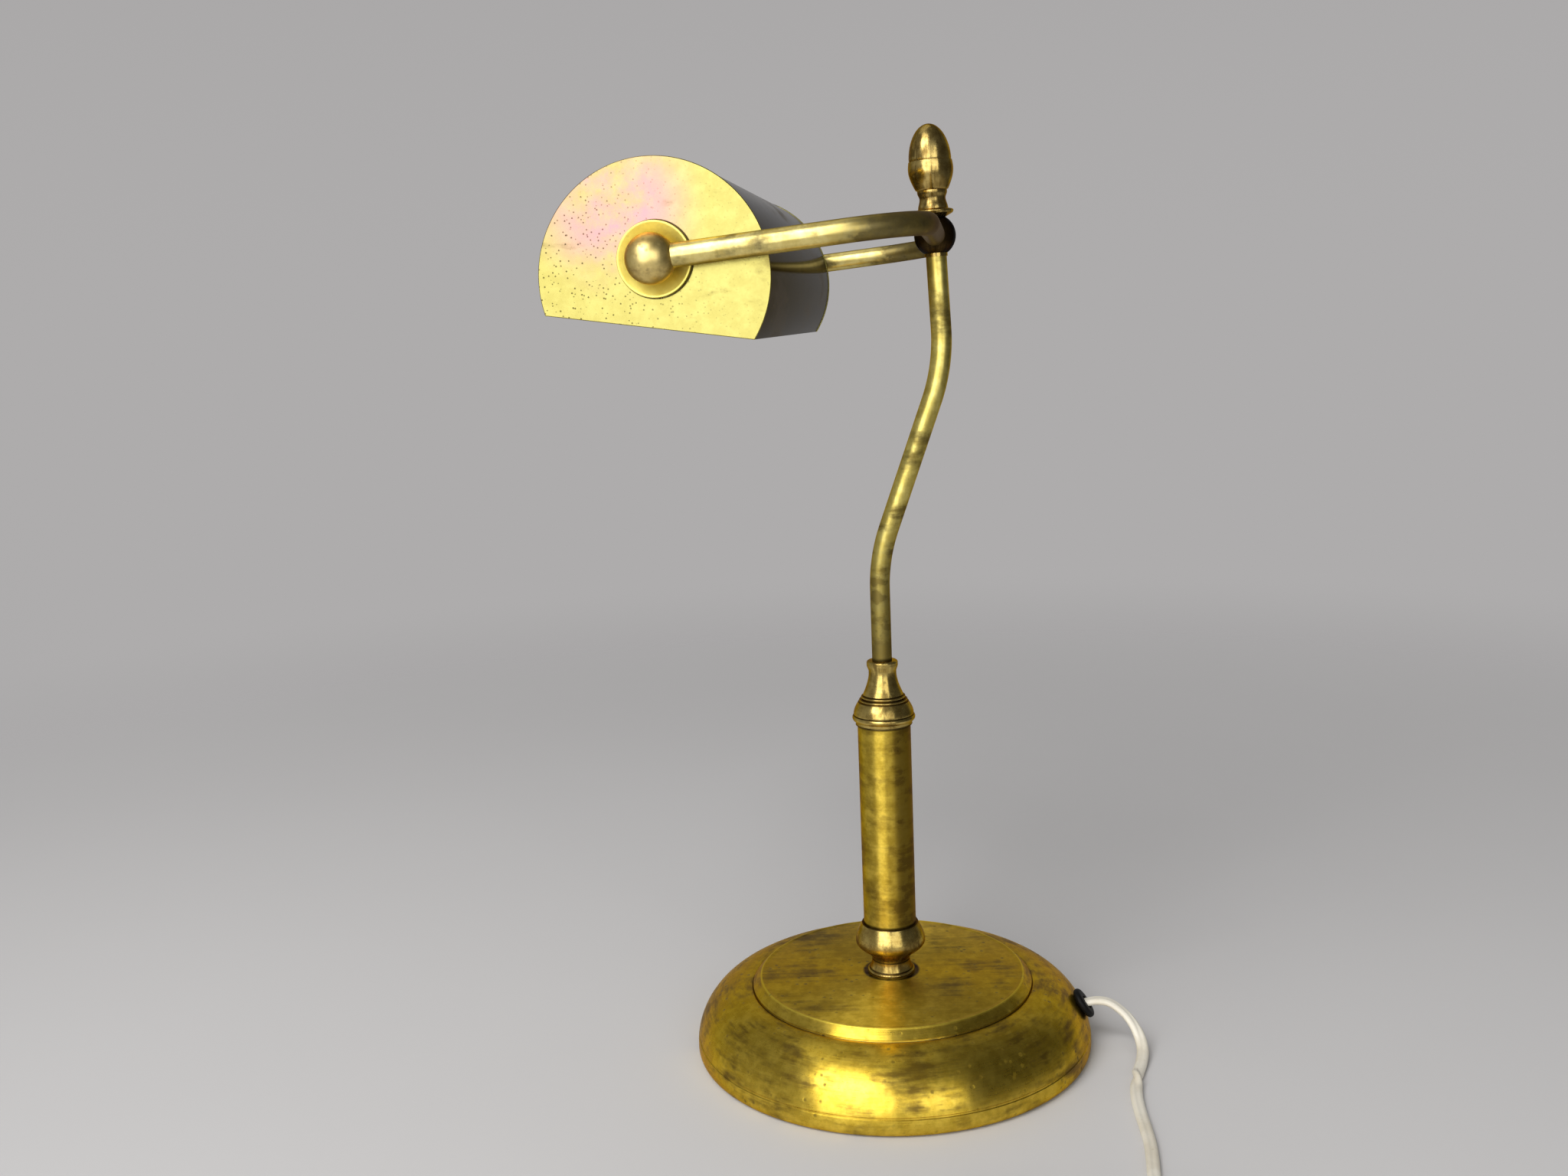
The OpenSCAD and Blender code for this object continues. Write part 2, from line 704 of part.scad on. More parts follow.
module swivel_ball() {
    color(worn_brass) at_hub() difference() {
        intersection() {
            sphere(d = hub_d);
            translate([0, 0, -hub_flat]) cylinder(d = hub_d + 2, h = 2 * hub_flat);
        }
        translate([0, 0, -hub_d]) cylinder(r = hub_bore_r, h = 2 * hub_d);
        for (side = [-1, 1]) {
            rotate([0, side * 90, 0]) translate([0, 0, arm_start])
                cylinder(d = tube_d + 2 * seat_fit, h = hub_d);
        }
    }
}

module fork_arm(side) {
    translate([0, hub_y, hub_z]) mirror([side < 0 ? 1 : 0, 0, 0])
        rotate([180 + fork_dip, 0, 0]) rotate([0, 90, 0]) translate([0, 0, arm_start])
            bent_tube(tube_d, tube_bore, fork_bend_r, arm_runs);
}

module near_arm() {
    color(worn_brass) fork_arm(1);
}

module far_arm() {
    color(worn_brass) fork_arm(-1);
}

module pivot_ball(side) {
    at_pivot(side) difference() {
        intersection() {
            sphere(d = pivot_d);
            translate([0, 0, -pivot_d]) cylinder(d = pivot_d + 2, h = pivot_d + pivot_flat);
        }
        translate([0, 0, -stud_foot]) cylinder(d = stud_d + 2 * seat_fit, h = pivot_d);
        rotate([0, 0, -fork_dip]) rotate([-90, 0, 0]) translate([0, 0, arm_end])
            cylinder(d = tube_d + 2 * seat_fit, h = pivot_d);
    }
}

module near_pivot_ball() {
    color(worn_brass) pivot_ball(1);
}

module far_pivot_ball() {
    color(worn_brass) pivot_ball(-1);
}

// Layers of one pivot, from the ball's flat inwards
cup_z = pivot_flat + run_fit;
plate_z = cup_z + cup_t;
washer_z = plate_z + shade_wall + run_fit;
nut_z = washer_z + washer_t;

module pivot_stud(side) {
    at_pivot(side) translate([0, 0, -stud_foot])
        cylinder(d = stud_d, h = stud_foot + nut_z + nut_t + stud_end);
}

module near_stud() {
    color(steel) pivot_stud(1);
}

module far_stud() {
    color(steel) pivot_stud(-1);
}

module near_washer() {
    color(steel) at_pivot(1) translate([0, 0, washer_z]) washer(washer_d, washer_t, stud_d / 2 + seat_fit);
}

module far_washer() {
    color(steel) at_pivot(-1) translate([0, 0, washer_z]) washer(washer_d, washer_t, stud_d / 2 + seat_fit);
}

module near_nut() {
    color(steel) at_pivot(1) translate([0, 0, nut_z]) hex_nut(nut_af, nut_t, stud_d / 2 + seat_fit);
}

module far_nut() {
    color(steel) at_pivot(-1) translate([0, 0, nut_z]) hex_nut(nut_af, nut_t, stud_d / 2 + seat_fit);
}

module finial_cup() {
    low = hub_flat + run_fit;
    flange_r = finial_flange_d / 2;
    edge_r = 0.8;
    edge_z = low + 2.9;
    edge_turns = [-45, 70];
    neck = [finial_neck_d / 2, low + 9];
    collar = [neck[0] + 0.9, low + 12];
    bowl = [collar[0] + 0.7, low + 13.2];
    belly = [finial_cup_d / 2, finial_seam - 3.7];
    seam_r = belly[0] - 0.4;
    color(worn_brass) at_hub() rotate_extrude($fn = 96) polygon(concat(
        [[hub_bore_r, low], [ring_r, low], [flange_r - edge_r / 2, edge_z - 1]],
        arc([flange_r - edge_r, edge_z], edge_r, edge_turns[0], edge_turns[1], 6),
        ogee([flange_r - 3 * edge_r, edge_z + 1.3], neck, 8),
        ogee(neck, collar, 8),
        [[collar[0], bowl[1] - 0.4]],
        [for (i = [0:12]) [bowl[0] + (belly[0] - bowl[0]) * sin(7.5 * i),
            bowl[1] + (belly[1] - bowl[1]) * i / 12]],
        swell(belly, [seam_r, finial_seam], 4),
        [[hub_bore_r, finial_seam]]
    ));
}

// Acorn whose outline is half an ellipse
module finial_acorn() {
    bore_top = spindle_top + 1;
    color(worn_brass) at_hub() rotate_extrude($fn = 96) polygon(concat(
        [[hub_bore_r, finial_seam]],
        [for (i = [0:23]) [acorn_d / 2 * cos(3.75 * i), finial_seam + acorn_h * sin(3.75 * i)]],
        [[0, finial_seam + acorn_h], [0, bore_top], [hub_bore_r, bore_top]]
    ));
}

// Cross-section of the shade: a round cut off flat below its axis
module shade_section(r) {
    difference() {
        circle(r = r, $fn = 128);
        translate([-2 * r, -2 * r - shade_drop]) square([4 * r, 2 * r]);
    }
}

module shade_along_x(length) {
    translate([-length / 2, 0, -pivot_rise]) rotate([90, 0, 90]) linear_extrude(length) children();
}

module shade_shell() {
    color(brass) at_shade() shade_along_x(2 * plate_in) difference() {
        shade_section(shade_r);
        circle(r = shade_r - shade_wall, $fn = 128);
    }
}

module end_plate(side) {
    at_shade() difference() {
        translate([side * (plate_in + shade_wall / 2), 0, 0]) shade_along_x(shade_wall)
            shade_section(shade_r + plate_lip);
        rotate([0, side * 90, 0]) cylinder(d = stud_d + 2 * run_fit, h = shade_len);
    }
}

module near_end_plate() {
    color(pale_brass) end_plate(1);
}

module far_end_plate() {
    color(pale_brass) end_plate(-1);
}

// Dished cup on an end plate, open towards the pivot ball
module pivot_cup(side) {
    hole_r = stud_d / 2 + run_fit;
    floor_r = pivot_seat_d / 2 + 3.5;
    rim_r = cup_d / 2;
    lip = 0.8;
    at_pivot(side) translate([0, 0, plate_z]) mirror([0, 0, 1]) rotate_extrude($fn = 96) polygon([
        [hole_r, 0], [floor_r, 0], [rim_r, cup_depth - cup_t], [rim_r, cup_depth],
        [rim_r - lip, cup_depth], [floor_r, cup_t], [hole_r, cup_t]
    ]);
}

module near_cup() {
    color(pale_brass) pivot_cup(1);
}

module far_cup() {
    color(pale_brass) pivot_cup(-1);
}

// Bracket soldered inside the far end plate: foot, shelf and upright
module holder_bracket() {
    shelf = [bracket_len, bracket_w, bracket_t];
    foot = [bracket_t, bracket_w, bracket_high - bracket_low];
    upright = [bracket_t, bracket_w, bulb_z - bracket_low + nipple_d / 2 + 5];
    color(steel) at_shade() difference() {
        union() {
            translate([bracket_x, -bracket_w / 2, bracket_low]) cube(shelf);
            translate([bracket_x, -bracket_w / 2, bracket_low]) cube(foot);
            translate([bracket_face - bracket_t, -bracket_w / 2, bracket_low]) cube(upright);
        }
        translate([bracket_face - 2 * bracket_t, 0, bulb_z]) rotate([0, 90, 0])
            cylinder(d = nipple_d + 2 * seat_fit, h = 4 * bracket_t);
    }
}

module along_bulb(x) {
    at_shade() translate([x, 0, bulb_z]) rotate([0, 90, 0]) children();
}

module holder_nut() {
    color(steel) along_bulb(bracket_face - bracket_t - holder_nut_t)
        hex_nut(holder_nut_af, holder_nut_t, nipple_d / 2 + seat_fit);
}

module holder_cap() {
    back = bracket_t + holder_nut_t + 1;
    bore_r = nipple_d / 2 - 1.5;
    shoulder = 6;
    color(phenolic) along_bulb(holder_x) rotate_extrude() polygon(concat(
        [[bore_r, -back], [nipple_d / 2, -back], [nipple_d / 2, 0]],
        arc([holder_d / 2 - shoulder, shoulder], shoulder, -90, 0, 8),
        [[holder_d / 2, holder_cap_len], [bore_r, holder_cap_len]]
    ));
}

module holder_barrel() {
    color(phenolic) along_bulb(barrel_x) difference() {
        cylinder(d = holder_d - 2, h = holder_len);
        translate([0, 0, barrel_floor]) cylinder(d = bulb_cap_d + 2 * loose_fit, h = holder_len);
    }
}

module bulb_cap() {
    r = bulb_cap_d / 2;
    tip_r = 2.5;
    taper = 3;
    color(steel) along_bulb(bulb_x) rotate_extrude() polygon([
        [0, 0], [tip_r, 0], [r - 1, taper], [r, taper + 1], [r, bulb_cap_len], [0, bulb_cap_len]
    ]);
}

// Tubular bulb: neck, straight side and round end, with its wall inside
module bulb_glass() {
    neck_r = bulb_cap_d / 2;
    r = bulb_d / 2;
    side_x = 12;
    end_x = bulb_len - r;
    inner = bulb_wall;
    color(frosted) along_bulb(glass_x) rotate_extrude() polygon(concat(
        [[neck_r - inner, 0]],
        ogee([neck_r, 0], [r, side_x]),
        arc([0, end_x], r, 0, 90),
        arc([0, end_x], r - inner, 90, 0),
        [for (i = [12:-1:1]) ogee([neck_r, 0], [r, side_x])[i] - [inner, 0]]
    ));
}

module cord_grommet() {
    back = grommet_inner_z - grommet_inner_t;
    roll = grommet_h / 2;
    reach = 25;
    color(rubber_black) difference() {
        at_exit() rotate_extrude() polygon(concat(
            [[0, back], [grommet_inner_r, back], [grommet_inner_r, grommet_inner_z],
                [grommet_neck_r, grommet_inner_z], [grommet_neck_r, dome_r]],
            arc([grommet_d / 2 - roll, dome_r + roll], roll, -90, 90, 10),
            [[0, dome_r + grommet_h]]
        ));
        translate(exit_point - reach * exit_dir) rotate([exit_slope - 90, 0, 0])
            cylinder(r = grommet_bore_r, h = 2 * reach);
    }
}

module inner_lead() {
    color(ivory) cord_sweep(smooth_path(lead_points, 2), 8);
}

module cord_clamp() {
    slot_w = cord_w + 2 * loose_fit;
    slot_h = cord_h + loose_fit;
    color(phenolic) difference() {
        translate([-clamp_w / 2, clamp_y, weight_top]) cube([clamp_w, clamp_len, slot_h + clamp_top]);
        translate([-slot_w / 2, clamp_y - 1, weight_top - 1]) cube([slot_w, clamp_len + 2, slot_h + 1]);
        for (x = [-screw_x, screw_x]) {
            translate([x, clamp_y + clamp_len / 2, weight_top - 1])
                cylinder(d = screw_d + 2 * seat_fit, h = slot_h + clamp_top + 2);
        }
    }
}

module clamp_screws() {
    head_z = weight_top + cord_h + loose_fit + clamp_top;
    color(steel) for (x = [-screw_x, screw_x]) {
        translate([x, clamp_y + clamp_len / 2, 0]) {
            translate([0, 0, weight_top - screw_grip])
                cylinder(d = screw_d, h = head_z - weight_top + screw_grip);
            translate([0, 0, head_z]) cylinder(d = 2 * screw_d, h = screw_head_t);
        }
    }
}

module terminal_block() {
    color(ivory) translate([-terminal_w / 2, terminal_y, weight_top]) difference() {
        cube([terminal_w, terminal_len, terminal_h]);
        for (x = [terminal_w / 4, 3 * terminal_w / 4]) {
            translate([x, terminal_len / 2, terminal_h / 2]) cylinder(d = terminal_screw_d, h = terminal_h);
        }
    }
}

module cord_run() {
    color(ivory) cord_sweep(smooth_path(cord_points, 3), 8);
}

module cord_link() {
    color(ivory) cord_sweep(smooth_path(link_points, 1), 8);
}

// Path of the coil: in along the lower layer, up in the half turn where it reverses, and out again
coil_steps = 24 * coil_turns;
function climb(turn) = let (t = min(max((turn - coil_turns / 2) * 2 + 0.5, 0), 1)) t * t * (3 - 2 * t);
coil_spiral = [for (i = [0:coil_steps]) let (
    turn = i / 24,
    r = coil_in + coil_pitch * abs(turn - coil_turns / 2)
) [coil_x + r * cos(-360 * turn), coil_y + r * sin(-360 * turn), coil_z + coil_layer * climb(turn)]];
plug_in = [plug_x, plug_y, plug_t / 2];
coil_path = concat(coil_spiral,
    [[plug_x, coil_y - tail_runs[0], coil_top_z], [plug_x, coil_y - tail_runs[1], coil_top_z - tail_dip]],
    [plug_in + [0, 6, 0], plug_in]
);

// Gap between two points of the coil, with the flat cord's thickness stretched to its width
function coil_gap(p, q) = let (d = p - q)
    (norm([d[0], d[1], d[2] * cord_w / cord_h]) - cord_w) * cord_h / cord_w;
least_gap = min([for (i = [0:len(coil_path) - 13], j = [i + 12:len(coil_path) - 1])
    coil_gap(coil_path[i], coil_path[j])]);
echo(least_coil_gap = least_gap);
echo(cord_length = path_length(smooth_path(cord_points, 3)) + switch_len
    + path_length(link_points) + path_length(coil_path));

module cord_coil() {
    color(ivory) cord_sweep(coil_path, 6);
}

// Flat band round the bundle on the side away from the plug
module coil_tie() {
    clear = 0.35;
    low_r = coil_in + coil_pitch / 2 - cord_w / 2 - clear;
    high_r = coil_out - coil_pitch / 2 + cord_w / 2 + clear;
    top = coil_top_z + cord_h / 2 + clear;
    color(phenolic) translate([coil_x, coil_y, 0]) difference() {
        translate([-high_r - tie_t, -tie_w / 2, 0]) cube([high_r - low_r + 2 * tie_t, tie_w, top + tie_t]);
        translate([-high_r, -tie_w, tie_t]) cube([high_r - low_r, 2 * tie_w, top - tie_t]);
    }
}

// Both halves of the switch are drawn from the end where the cord enters
module switch_base() {
    contact_gap = loose_fit;
    color(ivory) at_switch() difference() {
        soft_block([switch_len, switch_w, switch_split], switch_corner);
        for (x = contact_places) {
            translate([x - contact_l / 2, -contact_w / 2, switch_split - contact_h])
                translate([-contact_gap, -contact_gap, 0])
                    cube([contact_l + 2 * contact_gap, contact_w + 2 * contact_gap, contact_h + 1]);
        }
        for (x = switch_screw_places) {
            translate([x, switch_screw_y, -1]) cylinder(d = screw_d + 2 * seat_fit, h = switch_h);
        }
    }
}

module switch_cover() {
    window_l = rocker_len + 2 * window_gap;
    window_w = rocker_w + 2 * loose_fit;
    pin_reach = rocker_w / 2 + rocker_pin_end + loose_fit;
    color(ivory) at_switch() difference() {
        translate([0, 0, switch_split])
            soft_block([switch_len, switch_w, switch_h - switch_split], switch_corner);
        translate([(switch_len - window_l) / 2, -window_w / 2, 0]) cube([window_l, window_w, switch_h + 1]);
        translate([switch_len / 2, pin_reach, rocker_z]) rotate([90, 0, 0])
            cylinder(d = rocker_pin_d + 2 * run_fit, h = 2 * pin_reach);
        for (x = switch_screw_places) {
            translate([x, switch_screw_y, switch_split - 1])
                cylinder(d = screw_d + 2 * seat_fit, h = switch_screw_grip + 2);
        }
    }
}

module switch_contacts() {
    color(brass) at_switch() for (x = contact_places) {
        translate([x - contact_l / 2, -contact_w / 2, switch_split - contact_h])
            cube([contact_l, contact_w, contact_h - loose_fit]);
    }
}

module switch_screws() {
    color(steel) at_switch() for (x = switch_screw_places) {
        translate([x, switch_screw_y, switch_screw_sink])
            cylinder(d = screw_d, h = switch_split + switch_screw_grip);
    }
}

// Rocker on its pin, leaning to the side that is off
module switch_rocker() {
    half = rocker_len / 2;
    top = switch_h - rocker_z + 1.1;
    dish = 1.2;
    side = 2;
    foot = [3, -3.4];
    color(ivory) at_switch() translate([switch_len / 2, 0, rocker_z]) rotate([90, 0, 0])
        rotate([0, 0, rocker_lean]) union() {
            translate([0, 0, -rocker_w / 2]) linear_extrude(rocker_w) polygon([
                [-half, side], [-half, top], [0, top - dish], [half, top], [half, side],
                foot, [-foot[0], foot[1]]
            ]);
            translate([0, 0, -rocker_w / 2 - rocker_pin_end])
                cylinder(d = rocker_pin_d, h = rocker_w + 2 * rocker_pin_end);
        }
}

module plug_body() {
    w = plug_w / 2;
    tail = plug_tail_w / 2;
    grip = [tail + 1, -0.27 * plug_len];
    shoulder = [w, -0.65 * plug_len];
    corner = 2;
    half = [[tail, 0], grip, shoulder, [w, corner - plug_len], [w - corner, -plug_len]];
    color(ivory) translate([plug_x, plug_y, 0]) difference() {
        linear_extrude(plug_t)
            polygon(concat(half, [for (i = [len(half) - 1:-1:0]) [-half[i][0], half[i][1]]]));
        for (side = [-1, 1]) {
            translate([side * pin_pitch / 2, pin_seat - plug_len, plug_t / 2]) rotate([90, 0, 0])
                cylinder(d = pin_d + 2 * seat_fit, h = pin_seat + 1);
        }
    }
}

module plug_pins() {
    color(steel) for (side = [-1, 1]) {
        translate([plug_x + side * pin_pitch / 2, plug_y + pin_seat - plug_len, plug_t / 2])
            rotate([90, 0, 0]) cylinder(d = pin_d, h = pin_seat + pin_len);
    }
}

base_shell();
base_weight();
base_cover();
felt_pad();
tie_rod();
rod_washer();
rod_nut();
column_foot();
column_tube();
column_collar();
stem_tube();
stem_nipple();
cord_grommet();
inner_lead();
cord_clamp();
clamp_screws();
terminal_block();
cord_run();
switch_base();
switch_cover();
switch_contacts();
switch_screws();
switch_rocker();
cord_link();
cord_coil();
coil_tie();
plug_body();
plug_pins();
swivel_ball();
near_arm();
far_arm();
near_pivot_ball();
far_pivot_ball();
near_stud();
far_stud();
near_washer();
far_washer();
near_nut();
far_nut();
finial_cup();
finial_acorn();
shade_shell();
near_end_plate();
far_end_plate();
near_cup();
far_cup();
holder_bracket();
holder_nut();
holder_cap();
holder_barrel();
bulb_cap();
bulb_glass();
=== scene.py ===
"""Brass bankers lamp with a tilting trough shade, dressed over its CAD frame.

Sizes are written in millimetres and every mesh is built in metres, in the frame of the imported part:
+Z up from the table, X along the shade, -Y to the shade's side and +Y to the cord's exit.
"""

from __future__ import annotations

import json
import logging
import math
from abc import ABC, abstractmethod
from dataclasses import dataclass
from enum import Enum
from typing import Callable, Sequence, Union

import bmesh
import bpy
from mathutils import Matrix, Vector

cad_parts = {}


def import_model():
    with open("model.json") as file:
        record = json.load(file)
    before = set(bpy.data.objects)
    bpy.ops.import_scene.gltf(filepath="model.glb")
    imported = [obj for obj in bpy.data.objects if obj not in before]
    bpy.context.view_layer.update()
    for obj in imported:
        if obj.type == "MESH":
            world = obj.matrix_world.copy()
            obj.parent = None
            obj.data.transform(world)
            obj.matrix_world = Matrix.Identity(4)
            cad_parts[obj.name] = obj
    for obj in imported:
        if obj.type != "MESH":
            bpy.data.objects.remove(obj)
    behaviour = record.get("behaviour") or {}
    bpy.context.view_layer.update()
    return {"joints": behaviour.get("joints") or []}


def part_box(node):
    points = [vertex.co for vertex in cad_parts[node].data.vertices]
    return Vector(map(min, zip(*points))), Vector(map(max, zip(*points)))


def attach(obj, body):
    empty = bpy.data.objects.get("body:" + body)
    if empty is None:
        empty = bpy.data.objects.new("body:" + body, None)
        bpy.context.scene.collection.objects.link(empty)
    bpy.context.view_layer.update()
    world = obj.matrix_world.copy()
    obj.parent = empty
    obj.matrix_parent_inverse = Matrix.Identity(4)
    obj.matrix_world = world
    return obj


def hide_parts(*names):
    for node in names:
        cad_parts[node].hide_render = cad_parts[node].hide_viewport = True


LOG = logging.getLogger("bankers_lamp")
MM = 0.001
BRUSHED_EDGE = 0.4 * MM
LINING_EDGE = 0.2 * MM
BRASS_RELIEF = 0.25 * MM
FINE_RELIEF = 0.2 * MM
PIT_SIZE = (0.08, 0.26)
BRUSH_SKEW = 0.12

Pair = tuple[float, float]
Point = tuple[float, float, float]
Colour = tuple[float, float, float]
Profile = list[Pair]
Piece = bpy.types.Object
SocketValue = Union["Socket", float, int, str, Sequence[float], bpy.types.ID]


def srgb(red: int, green: int, blue: int) -> Colour:
    """Turn a screen colour into the linear one that shaders take.

    Args:
        red: Red from 0 to 255.
        green: Green from 0 to 255.
        blue: Blue from 0 to 255.

    Returns:
        The linear colour.
    """
    def linear(part: int) -> float:
        """Linear value of one channel."""
        share = part / 255
        return share / 12.92 if share <= 0.04045 else ((share + 0.055) / 1.055) ** 2.4

    return linear(red), linear(green), linear(blue)


# Node graphs


class Socket:
    """An output socket that takes part in Python arithmetic."""

    def __init__(self, graph: Graph, socket: bpy.types.NodeSocket) -> None:
        """Keep the socket and the graph that new nodes go into."""
        self.graph = graph
        self.socket = socket

    def math(self, operation: str, *others: SocketValue, first: SocketValue | None = None) -> Socket:
        """Output of a new Math node; first goes before this socket, for reflected operators."""
        values = ([self] if first is None else [first, self]) + list(others)
        return self.graph.add("ShaderNodeMath", {"operation": operation}, dict(enumerate(values)))["Value"]

    def __add__(self, other: SocketValue) -> Socket:
        """Sum."""
        return self.math("ADD", other)

    __radd__ = __add__

    def __sub__(self, other: SocketValue) -> Socket:
        """Difference."""
        return self.math("SUBTRACT", other)

    def __rsub__(self, other: SocketValue) -> Socket:
        """Difference from a plain number."""
        return self.math("SUBTRACT", first=other)

    def __mul__(self, other: SocketValue) -> Socket:
        """Product."""
        return self.math("MULTIPLY", other)

    __rmul__ = __mul__

    def __truediv__(self, other: SocketValue) -> Socket:
        """Quotient."""
        return self.math("DIVIDE", other)

    def between(self, low: float, high: float) -> Socket:
        """Smooth step from 0 at low to 1 at high.

        Args:
            low: Value that gives 0.
            high: Value that gives 1.

        Returns:
            The stepped value.
        """
        settings = {"interpolation_type": "SMOOTHSTEP"}
        values = {"Value": self, "From Min": low, "From Max": high}
        return self.graph.add("ShaderNodeMapRange", settings, values)["Result"]


class NodeOutputs:
    """Outputs of one node, looked up by name or by place."""

    def __init__(self, graph: Graph, node: bpy.types.Node) -> None:
        """Keep the node and the graph that it is in."""
        self.graph = graph
        self.node = node

    def __getitem__(self, key: str | int) -> Socket:
        """Give one output as a socket.

        Args:
            key: The output's name or place.

        Returns:
            The output.
        """
        if isinstance(key, int):
            return Socket(self.graph, self.node.outputs[key])
        found = [s for s in self.node.outputs if s.name == key and s.enabled]
        return Socket(self.graph, found[0])


class Graph:
    """A node tree, filled through one method."""

    def __init__(self, tree: bpy.types.NodeTree) -> None:
        """Empty a tree and start on it."""
        self.tree = tree
        tree.nodes.clear()

    def add(self, kind: str, settings: dict | None = None,
            inputs: dict[str | int, SocketValue] | None = None) -> NodeOutputs:
        """Add a node, set its own settings first, then its sockets.

        Args:
            kind: Blender's name of the node's type.
            settings: The node's properties; "stops" holds a ramp's places and colours.
            inputs: Values or links by socket name or place.

        Returns:
            The node's outputs.
        """
        node = self.tree.nodes.new(kind)
        for name, value in (settings or {}).items():
            if name == "stops":
                self._set_stops(node.color_ramp, value)
            else:
                setattr(node, name, value)
        for key, value in (inputs or {}).items():
            socket = self._input(node, key)
            if isinstance(value, Socket):
                self.tree.links.new(value.socket, socket)
            else:
                socket.default_value = value
        return NodeOutputs(self, node)

    @staticmethod
    def _set_stops(ramp: bpy.types.ColorRamp, stops: Sequence[tuple[float, Colour]]) -> None:
        """Give a ramp its stops.

        Args:
            ramp: The ramp.
            stops: Places and colours of its stops.
        """
        while len(ramp.elements) < len(stops):
            ramp.elements.new(1.0)
        for element, (place, colour) in zip(ramp.elements, stops):
            element.position = place
            element.color = (*colour, 1.0)

    @staticmethod
    def _input(node: bpy.types.Node, key: str | int) -> bpy.types.NodeSocket:
        """Find an input by place, or by name among those in use.

        Args:
            node: The node.
            key: The input's name or place.

        Returns:
            The input.
        """
        if isinstance(key, int):
            return node.inputs[key]
        return [s for s in node.inputs if s.name == key and s.enabled][0]

    def vector(self, x: SocketValue, y: SocketValue, z: SocketValue) -> Socket:
        """Join three values into a vector."""
        return self.add("ShaderNodeCombineXYZ", None, {"X": x, "Y": y, "Z": z})["Vector"]

    def split(self, vector: Socket) -> tuple[Socket, Socket, Socket]:
        """Part a vector into its three values."""
        parts = self.add("ShaderNodeSeparateXYZ", None, {"Vector": vector})
        return parts["X"], parts["Y"], parts["Z"]

    def noise(self, vector: Socket, scale: float, detail: float = 4.0, roughness: float = 0.55,
              w: SocketValue | None = None) -> Socket:
        """Add a noise texture.

        Args:
            vector: Where it is read.
            scale: Its scale.
            detail: Its octaves.
            roughness: Weight of its finer octaves.
            w: A fourth coordinate, where it has one.

        Returns:
            Its value, near 0.5 on average.
        """
        values: dict[str | int, SocketValue] = {"Vector": vector, "Scale": scale, "Detail": detail,
                                                "Roughness": roughness}
        if w is not None:
            values["W"] = w
        settings = {"noise_dimensions": "3D" if w is None else "4D"}
        return self.add("ShaderNodeTexNoise", settings, values)["Fac"]

    def blend(self, low: SocketValue, high: SocketValue, share: SocketValue) -> Socket:
        """Mix two colours.

        Args:
            low: Colour at a share of 0.
            high: Colour at a share of 1.
            share: How much of the second colour shows.

        Returns:
            The mixed colour.
        """
        low = (*low, 1.0) if isinstance(low, tuple) else low
        high = (*high, 1.0) if isinstance(high, tuple) else high
        node = self.add("ShaderNodeMix", {"data_type": "RGBA", "clamp_factor": True},
                        {"Factor": share, "A": low, "B": high})
        return node["Result"]


# Finishes


class Grain(Enum):
    """How a metal surface was worked: how close its fine lines lie along X, Y and Z, per metre."""

    TURNED = (0.0, 0.0, 900.0)
    ROUND = (25.0, 25.0, 800.0)
    UPRIGHT = (800.0, 800.0, 25.0)
    ALONG_Y = (800.0, 20.0, 800.0)
    POLISHED = (90.0, 90.0, 90.0)
    SPECKLED = (700.0, 700.0, 700.0)


class Finish(ABC):
    """A surface finish that makes its own material."""

    name: str

    def material(self) -> bpy.types.Material:
        """Give the finish's material, made on first use.

        Returns:
            The material.
        """
        made = bpy.data.materials.get(self.name)
        if made is None:
            made = bpy.data.materials.new(self.name)
            made.use_nodes = True
            graph = Graph(made.node_tree)
            surface = self.surface(graph)
            graph.add("ShaderNodeOutputMaterial", None, {"Surface": surface})
        return made

    @abstractmethod
    def surface(self, graph: Graph) -> Socket:
        """Fill the material's graph and give its shader."""


